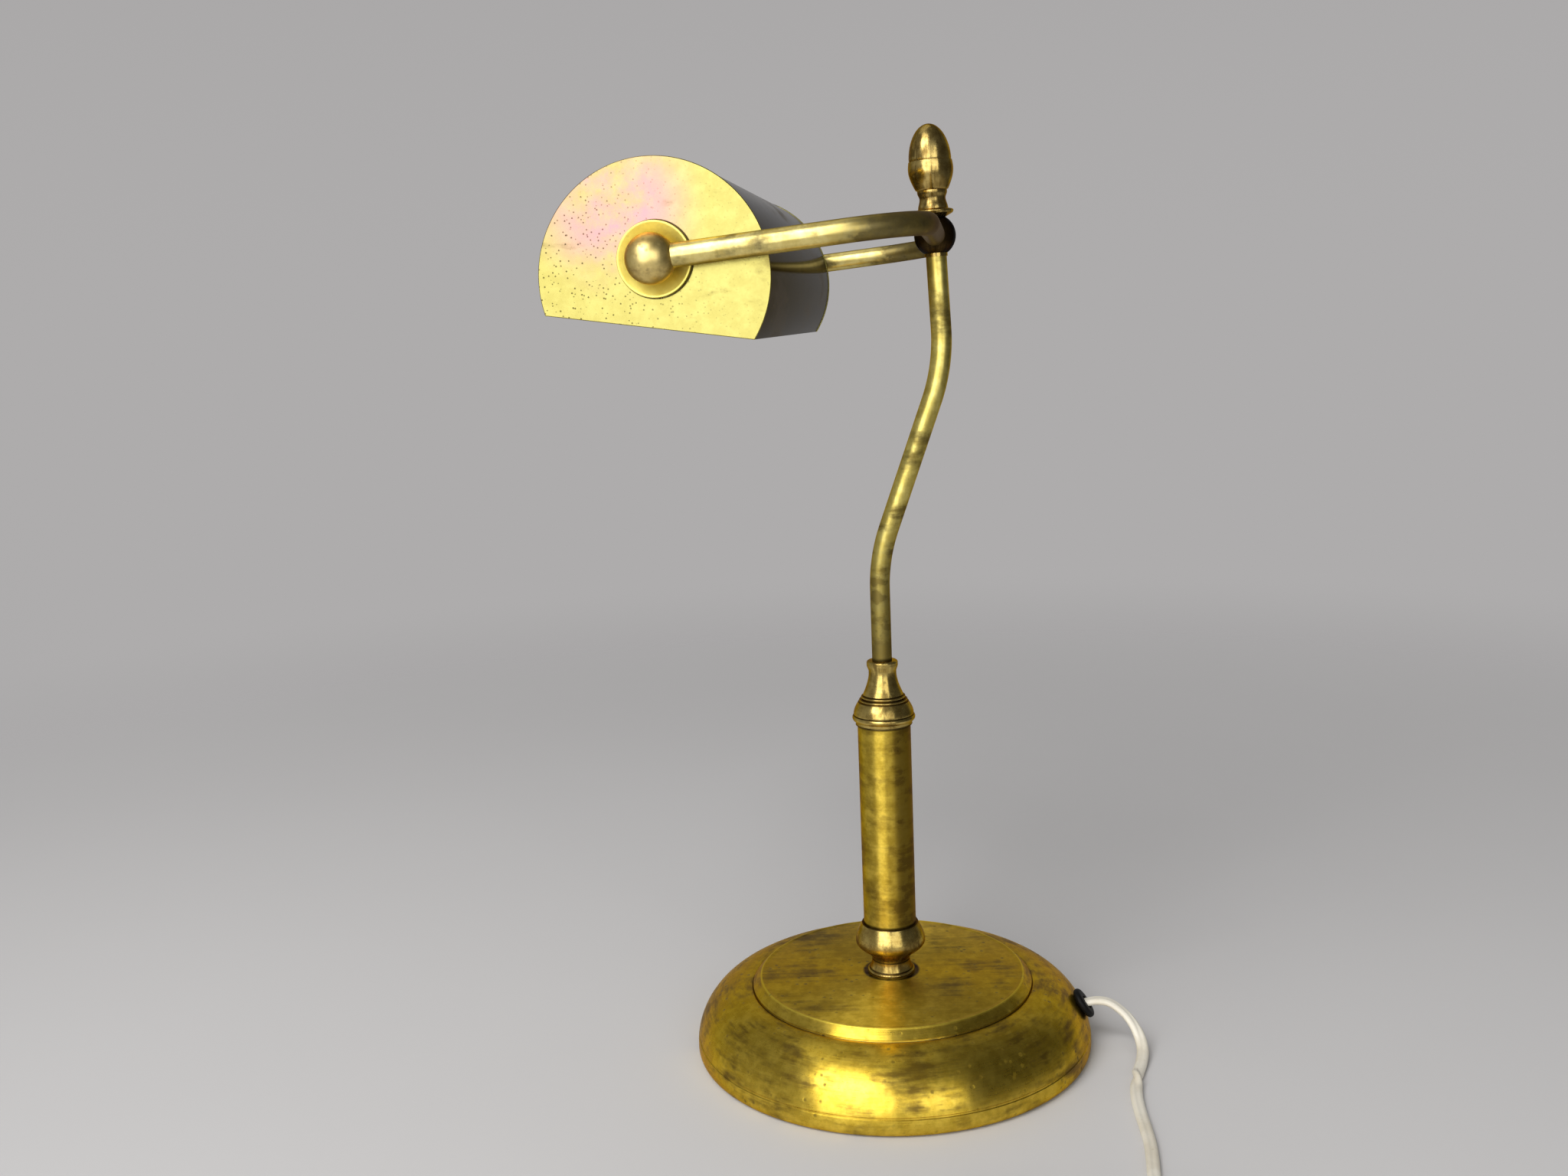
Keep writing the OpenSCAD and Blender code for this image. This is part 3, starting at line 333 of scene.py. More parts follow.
@dataclass(frozen=True)
class AgedBrass(Finish):
    """Old lacquered brass: brown patina, stains, pits, dark lines in its grooves and joints and the marks
    of its making, with painted shade and highlights on some pieces.

    Lengths are in millimetres, and heights and radii count from the centre.
    """

    name: str
    bright: Colour
    dull: Colour
    patina: Colour
    patina_cover: float = 0.35
    patina_size: float = 30.0
    smear: Point = (50.0, 50.0, 140.0)
    pits: float = 0.3
    pit_scale: float = 260.0
    pit_from: float = 0.46
    gloss: Pair = (0.16, 0.34)
    rim: Colour = srgb(222, 184, 84)
    lacquer: float = 0.06
    grain: Grain = Grain.TURNED
    grain_depth: float = 0.25
    relief: float = 0.35
    streak: float = 0.0
    centre: Point = (0.0, 0.0, 0.0)
    # A stain that fades along an axis: painted shade on one side of some pieces, a darker end on others.
    worn_axis: Point = (0.0, 0.0, 0.0)
    worn_from: float = 0.0
    worn_to: float = 1.0
    worn_stain: float = 1.0
    brushed_above: float = 10000.0
    # Radii of rings painted brighter: worn bright brass with a painted highlight along the edge.
    burnished: tuple[Pair, ...] = ()
    rings: tuple[Pair, ...] = ()
    grooves: tuple[Pair, ...] = ()
    # Seats: centre, radius and half width of painted shadow rings round a point.
    seats: tuple[tuple[Point, float, float], ...] = ()
    blush: Colour | None = None
    blush_at: Point = (0.0, 0.0, 0.0)
    blush_reach: float = 30.0
    lining: Colour | None = None
    lining_axis: Pair = (0.0, 0.0)
    lining_radius: float = 0.0

    def _flat(self, z: Socket) -> Socket:
        """Mask of a flat top that was brushed straight."""
        top = self.brushed_above * MM
        return z.between(top - BRUSHED_EDGE, top)

    def _grain(self, graph: Graph, x: Socket, y: Socket, z: Socket, radius: Socket) -> Socket:
        """Fine lines left by the lathe, the die or the brush.

        Args:
            graph: Graph of the material.
            x: Place along X.
            y: Place along Y.
            z: Place along Z.
            radius: Distance from the axis.

        Returns:
            Height of the lines, near 0.5 on average.
        """
        if self.grain is not Grain.TURNED:
            close = self.grain.value
            return graph.noise(graph.vector(x * close[0], y * close[1], z * close[2]), 1.0, 2.0)
        around = graph.vector(x / radius * 1.2, y / radius * 1.2, z * self.grain.value[2])
        turned = graph.noise(around, 1.0, 2.0, 0.5, radius * self.grain.value[2])
        straight = graph.noise(graph.vector((x + y * BRUSH_SKEW) * 700, y * 24, 0.0), 1.0, 2.0)
        flat = self._flat(z)
        return turned * (1 - flat) + straight * flat

    def _smears(self, graph: Graph, x: Socket, y: Socket, z: Socket, radius: Socket) -> Socket:
        """Broad strokes of dirt, along the way that the surface was rubbed.

        Args:
            graph: Graph of the material.
            x: Place along X.
            y: Place along Y.
            z: Place along Z.
            radius: Distance from the axis.

        Returns:
            Amount of dirt, near 0.5 on average.
        """
        close = self.smear
        where = graph.vector(x * close[0], y * close[1], z * close[2])
        if self.grain is Grain.TURNED:
            where = graph.vector(x / radius * 5, y / radius * 5, (z - radius) * close[2])
        rubbed = graph.noise(where, 1.0, 5.0, 0.6)
        strokes = graph.noise(graph.vector((x + y * BRUSH_SKEW) * 240, y * 15, 0.0), 1.0, 4.0, 0.6)
        flat = self._flat(z)
        return rubbed * (1 - flat) + (strokes * 0.7 + 0.1) * flat

    def _inside(self, y: Socket, z: Socket) -> Socket:
        """Mask of the hollow side of a trough along X.

        Args:
            y: Place along Y.
            z: Place along Z.

        Returns:
            1 inside and 0 outside.
        """
        across, up = y - self.lining_axis[0] * MM, z - self.lining_axis[1] * MM
        reach, skin = (across * across + up * up).math("SQRT"), self.lining_radius * MM
        return 1 - reach.between(skin - LINING_EDGE, skin)

    def _away(self, graph: Graph, place: Socket, point: Sequence[float]) -> Socket:
        """Distance from a point given in millimetres."""
        return graph.add("ShaderNodeVectorMath", {"operation": "DISTANCE"},
                         {0: place, 1: [c * MM for c in point]})["Value"]

    def _grime(self, graph: Graph, place: Socket, mottle: Socket, radius: Socket,
               z: Socket) -> Socket | float:
        """Dark lines round turned grooves and joints, and painted shadow round seats.

        Args:
            graph: Graph of the material.
            place: Place on the piece.
            mottle: Noise that breaks up the lines.
            radius: Distance from the axis.
            z: Place along Z.

        Returns:
            Darkness of the lines and the painted shadow, from 0 to 1.
        """
        lines = [(radius, at, half) for at, half in self.rings]
        lines += [(z, at, half) for at, half in self.grooves]
        lines += [(self._away(graph, place, point), at, half) for point, at, half in self.seats]
        found: Socket | float = 0.0
        for run, at, half in lines:
            away = (run - at * MM).math("ABSOLUTE")
            found = (1 - away.between(0.25 * half * MM, half * MM)) * (0.35 + mottle) + found
        return found if isinstance(found, float) else found.math("MINIMUM", 1.0)

    def surface(self, graph: Graph) -> Socket:
        """Fill the material's graph.

        Args:
            graph: Graph of the material.

        Returns:
            The brass shader.
        """
        place = graph.add("ShaderNodeTexCoord")["Object"]
        moved = graph.add("ShaderNodeMapping", None,
                          {"Vector": place, "Location": [-c * MM for c in self.centre]})["Vector"]
        x, y, z = graph.split(moved)
        radius = (x * x + y * y + 1e-9).math("SQRT")
        broad = graph.noise(moved, self.patina_size, 6.0, 0.62)
        mottle = graph.noise(moved, 170.0, 5.0, 0.65)
        grain = self._grain(graph, x, y, z, radius)
        cells = graph.add("ShaderNodeTexVoronoi", {"feature": "F1"},
                          {"Vector": moved, "Scale": self.pit_scale, "Randomness": 1.0})["Distance"]
        patches = graph.noise(moved, 55.0, 3.0).between(self.pit_from, self.pit_from + 0.14)
        pits = (1 - cells.between(*PIT_SIZE)) * patches * self.pits
        edge = 0.62 - 0.3 * self.patina_cover
        smears = self._smears(graph, x, y, z, radius)
        stain = (broad * 0.55 + smears * 0.45).between(edge - 0.05, edge + 0.12)
        # Stain that fades along an axis; it also thins the pits where it fades.
        if any(self.worn_axis):
            run = x * self.worn_axis[0] + y * self.worn_axis[1] + z * self.worn_axis[2]
            stain_and_shade_share = 1 - run.between(self.worn_from * MM, self.worn_to * MM)
            stain = (stain + stain_and_shade_share * self.worn_stain * (0.55 + 0.5 * mottle)).math("MINIMUM", 1.0)
            pits = pits * (0.15 + 0.85 * stain_and_shade_share)
        # Dark lines in grooves and joints, and painted shadow round seats.
        grime = self._grime(graph, place, mottle, radius, z)
        colour = graph.blend(self.dull, self.bright, mottle.between(0.35, 0.7) * 0.6 + grain * 0.4)
        if self.blush is not None:
            away = self._away(graph, place, self.blush_at)
            cloud = 1 - away.between(0.15 * self.blush_reach * MM, self.blush_reach * MM)
            colour = graph.blend(colour, self.blush, cloud * broad.between(0.3, 0.6) * 0.9)
        colour = graph.blend(colour, self.patina, stain * (0.55 + 0.45 * mottle))
        # Burnished rings: worn bright brass with a painted highlight.
        highlight_colour = tuple(min(1.0, 1.25 * c) for c in self.bright)
        for at, half in self.burnished:
            highlight_band = 1 - (radius - at * MM).math("ABSOLUTE").between(0.3 * half * MM, half * MM)
            colour = graph.blend(colour, highlight_colour, highlight_band * (0.5 + 0.5 * mottle))
        # Pits, dark lines and painted shadow take this darker patina colour.
        dirt = tuple(0.35 * c for c in self.patina)
        colour = graph.blend(colour, dirt, (pits + grime).math("MINIMUM", 1.0))
        low, high = self.gloss
        duller = 0.12 * stain + 0.25 * pits + 0.2 * grime + 0.14 * self._flat(z)
        rough = low + (high - low) * (0.5 * mottle + 0.5 * grain) + duller
        if self.lining is not None:
            inside = self._inside(y, z)
            colour = graph.blend(colour, self.lining, inside * (0.8 + 0.2 * mottle))
            rough = rough + 0.3 * inside
        height = grain * self.grain_depth - pits * 0.9 + mottle * 0.12
        bump = graph.add("ShaderNodeBump", None,
                         {"Strength": self.relief, "Distance": BRASS_RELIEF, "Height": height})
        values = {"Base Color": colour, "Metallic": 1 - 0.12 * stain - 0.5 * pits, "Roughness": rough,
                  "Specular Tint": (*self.rim, 1.0), "Coat Weight": self.lacquer, "Coat Roughness": 0.3,
                  "Anisotropic": self.streak, "Anisotropic Rotation": 0.25, "Normal": bump["Normal"]}
        return graph.add("ShaderNodeBsdfPrincipled", None, values)["BSDF"]


@dataclass(frozen=True)
class Moulded(Finish):
    """Moulded plastic, rubber or ceramic with handling marks and a fine moulded grain."""

    name: str
    base: Colour
    soiled: Colour
    gloss: Pair = (0.3, 0.5)
    soiling: float = 0.4
    grain_scale: float = 900.0
    grain_depth: float = 0.15
    sheen: float = 0.0
    shine: float = 0.5

    def surface(self, graph: Graph) -> Socket:
        """Fill the material's graph.

        Args:
            graph: Graph of the material.

        Returns:
            The moulded shader.
        """
        place = graph.add("ShaderNodeTexCoord")["Object"]
        grime = graph.noise(place, 45.0, 6.0, 0.6).between(0.42, 0.72) * self.soiling
        specks = graph.noise(place, 420.0, 3.0).between(0.66, 0.74) * self.soiling
        grain = graph.noise(place, self.grain_scale, 3.0)
        colour = graph.blend(self.base, self.soiled, (grime + specks * 0.6).math("MINIMUM", 1.0))
        low, high = self.gloss
        rough = low + (high - low) * (0.6 * grime + 0.4 * grain)
        bump = graph.add("ShaderNodeBump", None,
                         {"Strength": 0.3, "Distance": FINE_RELIEF, "Height": grain * self.grain_depth})
        values = {"Base Color": colour, "Roughness": rough, "Normal": bump["Normal"],
                  "Sheen Weight": self.sheen, "Specular IOR Level": self.shine}
        return graph.add("ShaderNodeBsdfPrincipled", None, values)["BSDF"]


@dataclass(frozen=True)
class BareMetal(Finish):
    """Plain steel or iron with tool marks and spots of rust."""

    name: str
    base: Colour
    rust: Colour
    rust_cover: float = 0.2
    gloss: Pair = (0.28, 0.45)

    def surface(self, graph: Graph) -> Socket:
        """Fill the material's graph.

        Args:
            graph: Graph of the material.

        Returns:
            The metal shader.
        """
        place = graph.add("ShaderNodeTexCoord")["Object"]
        spots = graph.noise(place, 120.0, 6.0, 0.65)
        edge = 0.75 - 0.3 * self.rust_cover
        rust = spots.between(edge, edge + 0.08)
        marks = graph.noise(place, 700.0, 2.0)
        colour = graph.blend(self.base, self.rust, rust)
        low, high = self.gloss
        rough = low + (high - low) * marks + 0.3 * rust
        bump = graph.add("ShaderNodeBump", None,
                         {"Strength": 0.3, "Distance": FINE_RELIEF, "Height": marks + rust})
        values = {"Base Color": colour, "Metallic": 1 - rust, "Roughness": rough, "Normal": bump["Normal"]}
        return graph.add("ShaderNodeBsdfPrincipled", None, values)["BSDF"]


@dataclass(frozen=True)
class PressedFibre(Finish):
    """Felt or pressed board: short fibres in two tones."""

    name: str
    base: Colour
    fibre: Colour
    fibre_scale: float = 1500.0

    def surface(self, graph: Graph) -> Socket:
        """Fill the material's graph.

        Args:
            graph: Graph of the material.

        Returns:
            The fibre shader.
        """
        place = graph.add("ShaderNodeTexCoord")["Object"]
        fibres = graph.noise(place, self.fibre_scale, 4.0, 0.7)
        tufts = graph.noise(place, self.fibre_scale / 8, 3.0)
        colour = graph.blend(self.base, self.fibre, (fibres * 0.7 + tufts * 0.3).between(0.4, 0.65))
        bump = graph.add("ShaderNodeBump", None,
                         {"Strength": 0.6, "Distance": 2 * FINE_RELIEF, "Height": fibres})
        values = {"Base Color": colour, "Roughness": 0.95, "Normal": bump["Normal"], "Sheen Weight": 0.3}
        return graph.add("ShaderNodeBsdfPrincipled", None, values)["BSDF"]


@dataclass(frozen=True)
class FrostedGlass(Finish):
    """White frosted bulb glass with a little dust."""

    name: str
    base: Colour
    dust: Colour

    def surface(self, graph: Graph) -> Socket:
        """Fill the material's graph.

        Args:
            graph: Graph of the material.

        Returns:
            The glass shader.
        """
        place = graph.add("ShaderNodeTexCoord")["Object"]
        dust = graph.noise(place, 80.0, 5.0).between(0.5, 0.75)
        colour = graph.blend(self.base, self.dust, dust)
        values = {"Base Color": colour, "Roughness": 0.3 + 0.2 * dust, "Coat Weight": 0.4,
                  "Coat Roughness": 0.1}
        return graph.add("ShaderNodeBsdfPrincipled", None, values)["BSDF"]


BASE_BRASS = AgedBrass(
    "base_brass", srgb(240, 207, 78), srgb(192, 159, 40), srgb(70, 46, 12), patina_cover=0.38,
    patina_size=38.0, smear=(50.0, 50.0, 190.0), pits=0.65, pit_scale=200.0, pit_from=0.42,
    gloss=(0.22, 0.34), lacquer=0.22, grain_depth=0.5, streak=0.8, brushed_above=38.0,
    # The ring at the disc's edge is worn bright brass with a painted highlight.
    burnished=((68.2, 0.7),), rings=((72.8, 0.4), (13.2, 2.2)))
TURNED_BRASS = AgedBrass(
    "turned_brass", srgb(224, 198, 116), srgb(150, 124, 60), srgb(80, 58, 24), patina_cover=0.34,
    patina_size=60.0, pits=0.4, gloss=(0.16, 0.28), streak=0.5,
    grooves=((40.6, 0.5), (45.6, 0.8), (65.4, 0.5), (171.8, 0.5), (176.6, 0.4), (183.4, 0.4), (184.9, 0.5),
             (186.6, 0.5)))
# The stain along -Y is painted shade on the column's +Y side, away from the lights.
COLUMN_BRASS = AgedBrass(
    "column_brass", srgb(230, 200, 82), srgb(166, 138, 40), srgb(76, 50, 13), patina_cover=0.38,
    patina_size=34.0, pits=0.6, gloss=(0.3, 0.42), grain=Grain.ROUND, grain_depth=0.6, relief=0.5,
    streak=0.85, worn_axis=(0.0, -1.0, 0.0), worn_from=-9.0, worn_to=1.0, worn_stain=0.9,
    grooves=((65.5, 1.6), (171.5, 1.2)))
# Darker towards the bottom.
STEM_BRASS = AgedBrass(
    "stem_brass", srgb(248, 232, 138), srgb(196, 174, 82), srgb(62, 40, 10), patina_cover=0.34,
    patina_size=50.0, pits=0.25, gloss=(0.3, 0.4), grain=Grain.UPRIGHT, grain_depth=0.1,
    worn_axis=(0.0, 0.0, 1.0), worn_from=210.0, worn_to=305.0, worn_stain=1.1, grooves=((204.5, 2.0),))
# Darker towards the hub and its elbows; the darker grazing tint paints shade on the elbows seen edge on.
FORK_BRASS = AgedBrass(
    "fork_brass", srgb(248, 232, 156), srgb(212, 188, 104), srgb(40, 22, 6), patina_cover=0.28,
    patina_size=60.0, pits=0.3, gloss=(0.26, 0.36), rim=srgb(140, 112, 54), grain=Grain.ALONG_Y,
    worn_axis=(0.0, -1.0, 0.0), worn_from=-17.0, worn_to=16.0, worn_stain=1.3)
FINIAL_BRASS = AgedBrass(
    "finial_brass", srgb(224, 198, 122), srgb(148, 120, 58), srgb(54, 36, 12), patina_cover=0.5,
    patina_size=70.0, pits=0.3, gloss=(0.15, 0.24), streak=0.5, centre=(0.0, 31.5, 380.0))
KNUCKLE_BRASS = AgedBrass(
    "knuckle_brass", srgb(84, 64, 30), srgb(52, 38, 16), srgb(26, 17, 6), patina_cover=0.6,
    patina_size=70.0, pits=0.3, gloss=(0.2, 0.3), rim=srgb(110, 86, 42), centre=(0.0, 31.5, 380.0))
PIVOT_BRASS = AgedBrass(
    "pivot_brass", srgb(244, 220, 146), srgb(204, 178, 106), srgb(116, 86, 46), patina_cover=0.36,
    patina_size=70.0, pits=0.35, gloss=(0.3, 0.42), grain=Grain.POLISHED)
PLATE_BRASS = AgedBrass(
    "plate_brass", srgb(178, 170, 97), srgb(158, 148, 79), srgb(92, 68, 28), patina_cover=0.0,
    patina_size=26.0, pits=0.72, pit_scale=540.0, pit_from=0.2, gloss=(0.2, 0.28), grain=Grain.SPECKLED,
    grain_depth=0.1, worn_axis=(0.0, 1.0, 0.35), worn_from=20.0, worn_to=90.0, worn_stain=0.12,
    # Seats: a painted shadow round each pivot cup's rim on the end plates.
    seats=(((125.0, -79.74, 402.38), 15.9, 0.5), ((-125.0, -79.74, 402.38), 15.9, 0.5)),
    blush=srgb(180, 124, 146), blush_at=(125.0, -96.0, 425.0), blush_reach=42.0)
CUP_BRASS = AgedBrass(
    "cup_brass", srgb(244, 232, 130), srgb(226, 208, 100), srgb(140, 106, 42), patina_cover=0.14,
    patina_size=60.0, pits=0.2, gloss=(0.4, 0.5), grain=Grain.POLISHED)
# The dark grazing tint paints shade on the shell seen edge on, in place of the shade it would mirror.
SHADE_BRASS = AgedBrass(
    "shade_brass", srgb(204, 180, 92), srgb(176, 150, 66), srgb(104, 80, 34), patina_cover=0.2,
    patina_size=16.0, smear=(18.0, 60.0, 60.0), pits=0.2, gloss=(0.1, 0.16), rim=srgb(86, 78, 42),
    lacquer=0.0, grain=Grain.POLISHED, grain_depth=0.04, lining=srgb(190, 170, 100),
    lining_axis=(-80.85, 394.96), lining_radius=48.2)
IVORY_CORD = Moulded("ivory_cord", srgb(234, 228, 212), srgb(190, 176, 146), (0.38, 0.5), 0.4)
IVORY_CASE = Moulded("ivory_case", srgb(234, 229, 212), srgb(190, 176, 144), (0.26, 0.42), 0.45)
BLACK_RUBBER = Moulded("black_rubber", srgb(9, 9, 9), srgb(28, 27, 26), (0.5, 0.7), 0.4, 700.0, 0.3,
                       shine=0.15)
DARK_PHENOLIC = Moulded("dark_phenolic", srgb(44, 34, 28), srgb(82, 66, 52), (0.22, 0.4), 0.4)
PLAIN_STEEL = BareMetal("plain_steel", srgb(196, 196, 198), srgb(120, 82, 56))
RAW_IRON = BareMetal("raw_iron", srgb(92, 92, 96), srgb(104, 62, 40), 0.6, (0.5, 0.7))
GREEN_FELT = PressedFibre("green_felt", srgb(42, 62, 46), srgb(78, 98, 74))
BROWN_BOARD = PressedFibre("brown_board", srgb(112, 88, 58), srgb(146, 120, 86), 700.0)
OPAL_GLASS = FrostedGlass("opal_glass", srgb(240, 238, 230), srgb(206, 200, 184))


# Outlines and meshes


def arc(centre: Pair, radius: float, start: float, end: float, steps: int = 12) -> Profile:
    """Points of a circular arc between two angles in degrees, both ends included."""
    turns = [math.radians(start + (end - start) * i / steps) for i in range(steps + 1)]
    return [(centre[0] + radius * math.cos(a), centre[1] + radius * math.sin(a)) for a in turns]


def curve(low: Pair, high: Pair, share: Callable[[float], float],
          steps: int = 24) -> Profile:
    """Turned outline between two points; share says how far the radius has gone at a height."""
    places = [i / steps for i in range(steps + 1)]
    return [(low[0] + (high[0] - low[0]) * share(t), low[1] + (high[1] - low[1]) * t) for t in places]


def ogee(t: float) -> float:
    """S-curve that starts and ends upright."""
    return (1 - math.cos(math.pi * t)) / 2


def swell(t: float) -> float:
    """Curve that starts upright and swings over."""
    return 1 - math.cos(math.pi * t / 2)


def cove(t: float) -> float:
    """Hollow that starts aslant and ends upright."""
    return math.sin(math.pi * t / 2)


def rounded(points: Profile, radius: float, steps: int = 4) -> Profile:
    """Round the corners of a closed outline.

    Args:
        points: Corners of the outline.
        radius: Largest radius of a corner.
        steps: Steps of each rounding.

    Returns:
        The outline with its corners rounded.
    """
    made: Profile = []
    for i, corner in enumerate(points):
        here = Vector(corner)
        back = Vector(points[i - 1]) - here
        ahead = Vector(points[(i + 1) % len(points)]) - here
        reach = min(radius, 0.4 * back.length, 0.4 * ahead.length)
        first, last = here + back.normalized() * reach, here + ahead.normalized() * reach
        for k in range(steps + 1):
            t = k / steps
            point = first * (1 - t) ** 2 + here * 2 * t * (1 - t) + last * t ** 2
            made.append((point.x, point.y))
    return made


def smooth_path(points: Sequence[Vector], steps: int) -> list[Vector]:
    """Smooth curve through points, as the CAD route has it.

    Args:
        points: Points of the route.
        steps: Steps between each two.

    Returns:
        The points of the curve.
    """
    ends = [2 * points[0] - points[1], *points, 2 * points[-1] - points[-2]]
    made = []
    for a, b, c, d in zip(ends, ends[1:], ends[2:], ends[3:]):
        for k in range(steps):
            t = k / steps
            made.append(0.5 * (2 * b + (c - a) * t + (2 * a - 5 * b + 4 * c - d) * t ** 2
                               + (3 * b - a - 3 * c + d) * t ** 3))
    return made + [points[-1]]


def spin(degrees: float, axis: str) -> Matrix:
    """Turn about an axis."""
    return Matrix.Rotation(math.radians(degrees), 4, axis)


def path_length(points: Sequence[Vector]) -> float:
    """Length of a path of points."""
    return sum((b - a).length for a, b in zip(points, points[1:]))


class Form:
    """A closed mesh under construction, in millimetres."""

    def __init__(self) -> None:
        """Start with nothing."""
        self.points: list[Vector] = []
        self.faces: list[tuple[int, ...]] = []

    def lathe(self, outline: Profile, segments: int = 128) -> Form:
        """Turn a closed outline of radius and height round Z.

        Args:
            outline: Closed outline; points on the axis become poles.
            segments: Steps round the axis.

        Returns:
            The form itself.
        """
        area = sum(a[0] * b[1] - b[0] * a[1] for a, b in zip(outline, outline[1:] + outline[:1]))
        outline = outline if area > 0 else outline[::-1]
        rings = []
        for radius, height in outline:
            start = len(self.points)
            if radius < 1e-6:
                self.points.append(Vector((0, 0, height)))
                rings.append([start] * segments)
                continue
            for k in range(segments):
                turn = 2 * math.pi * k / segments
                self.points.append(Vector((radius * math.cos(turn), radius * math.sin(turn), height)))
            rings.append(list(range(start, start + segments)))
        for low, high in zip(rings, rings[1:] + rings[:1]):
            for k in range(segments):
                after = (k + 1) % segments
                corners = [low[k], low[after], high[after], high[k]]
                face = tuple(dict.fromkeys(corners))
                if len(face) > 2:
                    self.faces.append(face)
        return self

    def loft(self, rings: Sequence[Sequence[Vector]]) -> Form:
        """Skin a row of equal rings and close both ends.

        Args:
            rings: Rings that run anticlockwise seen from ahead.

        Returns:
            The form itself.
        """
        start, count = len(self.points), len(rings[0])
        for ring in rings:
            self.points.extend(Vector(p) for p in ring)
        for i in range(len(rings) - 1):
            for k in range(count):
                a = start + i * count + k
                b = start + i * count + (k + 1) % count
                self.faces.append((a, b, b + count, a + count))
        last = start + (len(rings) - 1) * count
        self.faces.append(tuple(start + k for k in reversed(range(count))))
        self.faces.append(tuple(last + k for k in range(count)))
        return self

    def slab(self, outline: Profile, low: float, high: float, edge: float) -> Form:
        """Raise an outline into a slab with rounded edges.

        Args:
            outline: Anticlockwise outline in X and Y.
            low: Height of the underside.
            high: Height of the top.
            edge: Radius of the edges.

        Returns:
            The form itself.
        """
        rings = []
        for turn in (0, 30, 60, 90):
            rise, draw = 1 - math.cos(math.radians(turn)), 1 - math.sin(math.radians(turn))
            rings.append((low + edge * rise, edge * draw))
        rings += [(low + high - z, draw) for z, draw in reversed(rings)]
        return self.loft([[Vector((x, y, z)) for x, y in inset(outline, draw)] for z, draw in rings])

    def placed(self, matrix: Matrix) -> Form:
        """Move the whole form."""
        self.points = [matrix @ p for p in self.points]
        return self

    def piece(self, name: str, crease: float = 32.0) -> Piece:
        """Make the mesh object, in metres.

        Args:
            name: Name of the piece.
            crease: Angle in degrees over which an edge shows as sharp.

        Returns:
            The object.
        """
        mesh = bpy.data.meshes.new(name)
        mesh.from_pydata([p * MM for p in self.points], [], self.faces)
        work = bmesh.new()
        work.from_mesh(mesh)
        bmesh.ops.remove_doubles(work, verts=work.verts, dist=1e-7)
        bmesh.ops.dissolve_degenerate(work, edges=work.edges, dist=1e-8)
        work.to_mesh(mesh)
        work.free()
        made = bpy.data.objects.new(name, mesh)
        bpy.context.scene.collection.objects.link(made)
        shade_soft(mesh, crease)
        return made


def inset(outline: Profile, distance: float) -> Profile:
    """Draw an anticlockwise outline in by a distance.

    Args:
        outline: The outline.
        distance: How far it is drawn in.

    Returns:
        The smaller outline.
    """
    made = []
    for i, point in enumerate(outline):
        here = Vector(point)
        back = (here - Vector(outline[i - 1])).normalized()
        ahead = (Vector(outline[(i + 1) % len(outline)]) - here).normalized()
        inward = Vector((-(back + ahead).y, (back + ahead).x)).normalized()
        made.append(tuple(here + inward * distance / max(0.4, inward.dot(Vector((-ahead.y, ahead.x))))))
    return made


def shade_soft(mesh: bpy.types.Mesh, crease: float) -> None:
    """Shade a mesh smooth, with edges over an angle in degrees left sharp."""
    mesh.shade_smooth()
    mesh.set_sharp_from_angle(angle=math.radians(crease))


def cut(piece: Piece, tool: Piece, crease: float = 32.0) -> None:
    """Cut one mesh out of another and drop the tool.

    Args:
        piece: Mesh that is cut.
        tool: Mesh that is taken away.
        crease: Angle in degrees over which an edge shows as sharp.
    """
    modifier = piece.modifiers.new("cut", "BOOLEAN")
    modifier.operation = "DIFFERENCE"
    modifier.solver = "EXACT"
    modifier.object = tool
    bake_modifiers(piece)
    bpy.data.objects.remove(tool)
    shade_soft(piece.data, crease)


def evaluated_mesh(piece: Piece) -> bpy.types.Mesh:
    """Plain mesh of what a piece's modifiers make.

    Args:
        piece: The piece.

    Returns:
        The mesh.
    """
    bpy.context.view_layer.update()
    graph = bpy.context.evaluated_depsgraph_get()
    return bpy.data.meshes.new_from_object(piece.evaluated_get(graph), depsgraph=graph)


def bake_modifiers(piece: Piece) -> None:
    """Turn a piece's modifiers into plain mesh.

    Args:
        piece: The piece.
    """
    mesh = evaluated_mesh(piece)
    piece.modifiers.clear()
    old = piece.data
    piece.data = mesh
    bpy.data.meshes.remove(old)


def finish_piece(piece: Piece, finish: Finish, body: str, slot: str,
                 *nodes: str) -> Piece:
    """Dress a piece and put it in its nodes' place.

    Args:
        piece: The piece.
        finish: Its finish.
        body: CAD body that it rides on.
        slot: The record's material slot; not used.
        nodes: CAD nodes that it stands for.

    Returns:
        The piece.
    """
    piece.data.materials.clear()
    piece.data.materials.append(finish.material())
    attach(piece, body)
    if nodes:
        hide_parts(*nodes)
    LOG.info("%s: %d faces, for %s", piece.name, len(piece.data.polygons), ", ".join(nodes) or "itself")
    return piece


# Geometry node trees


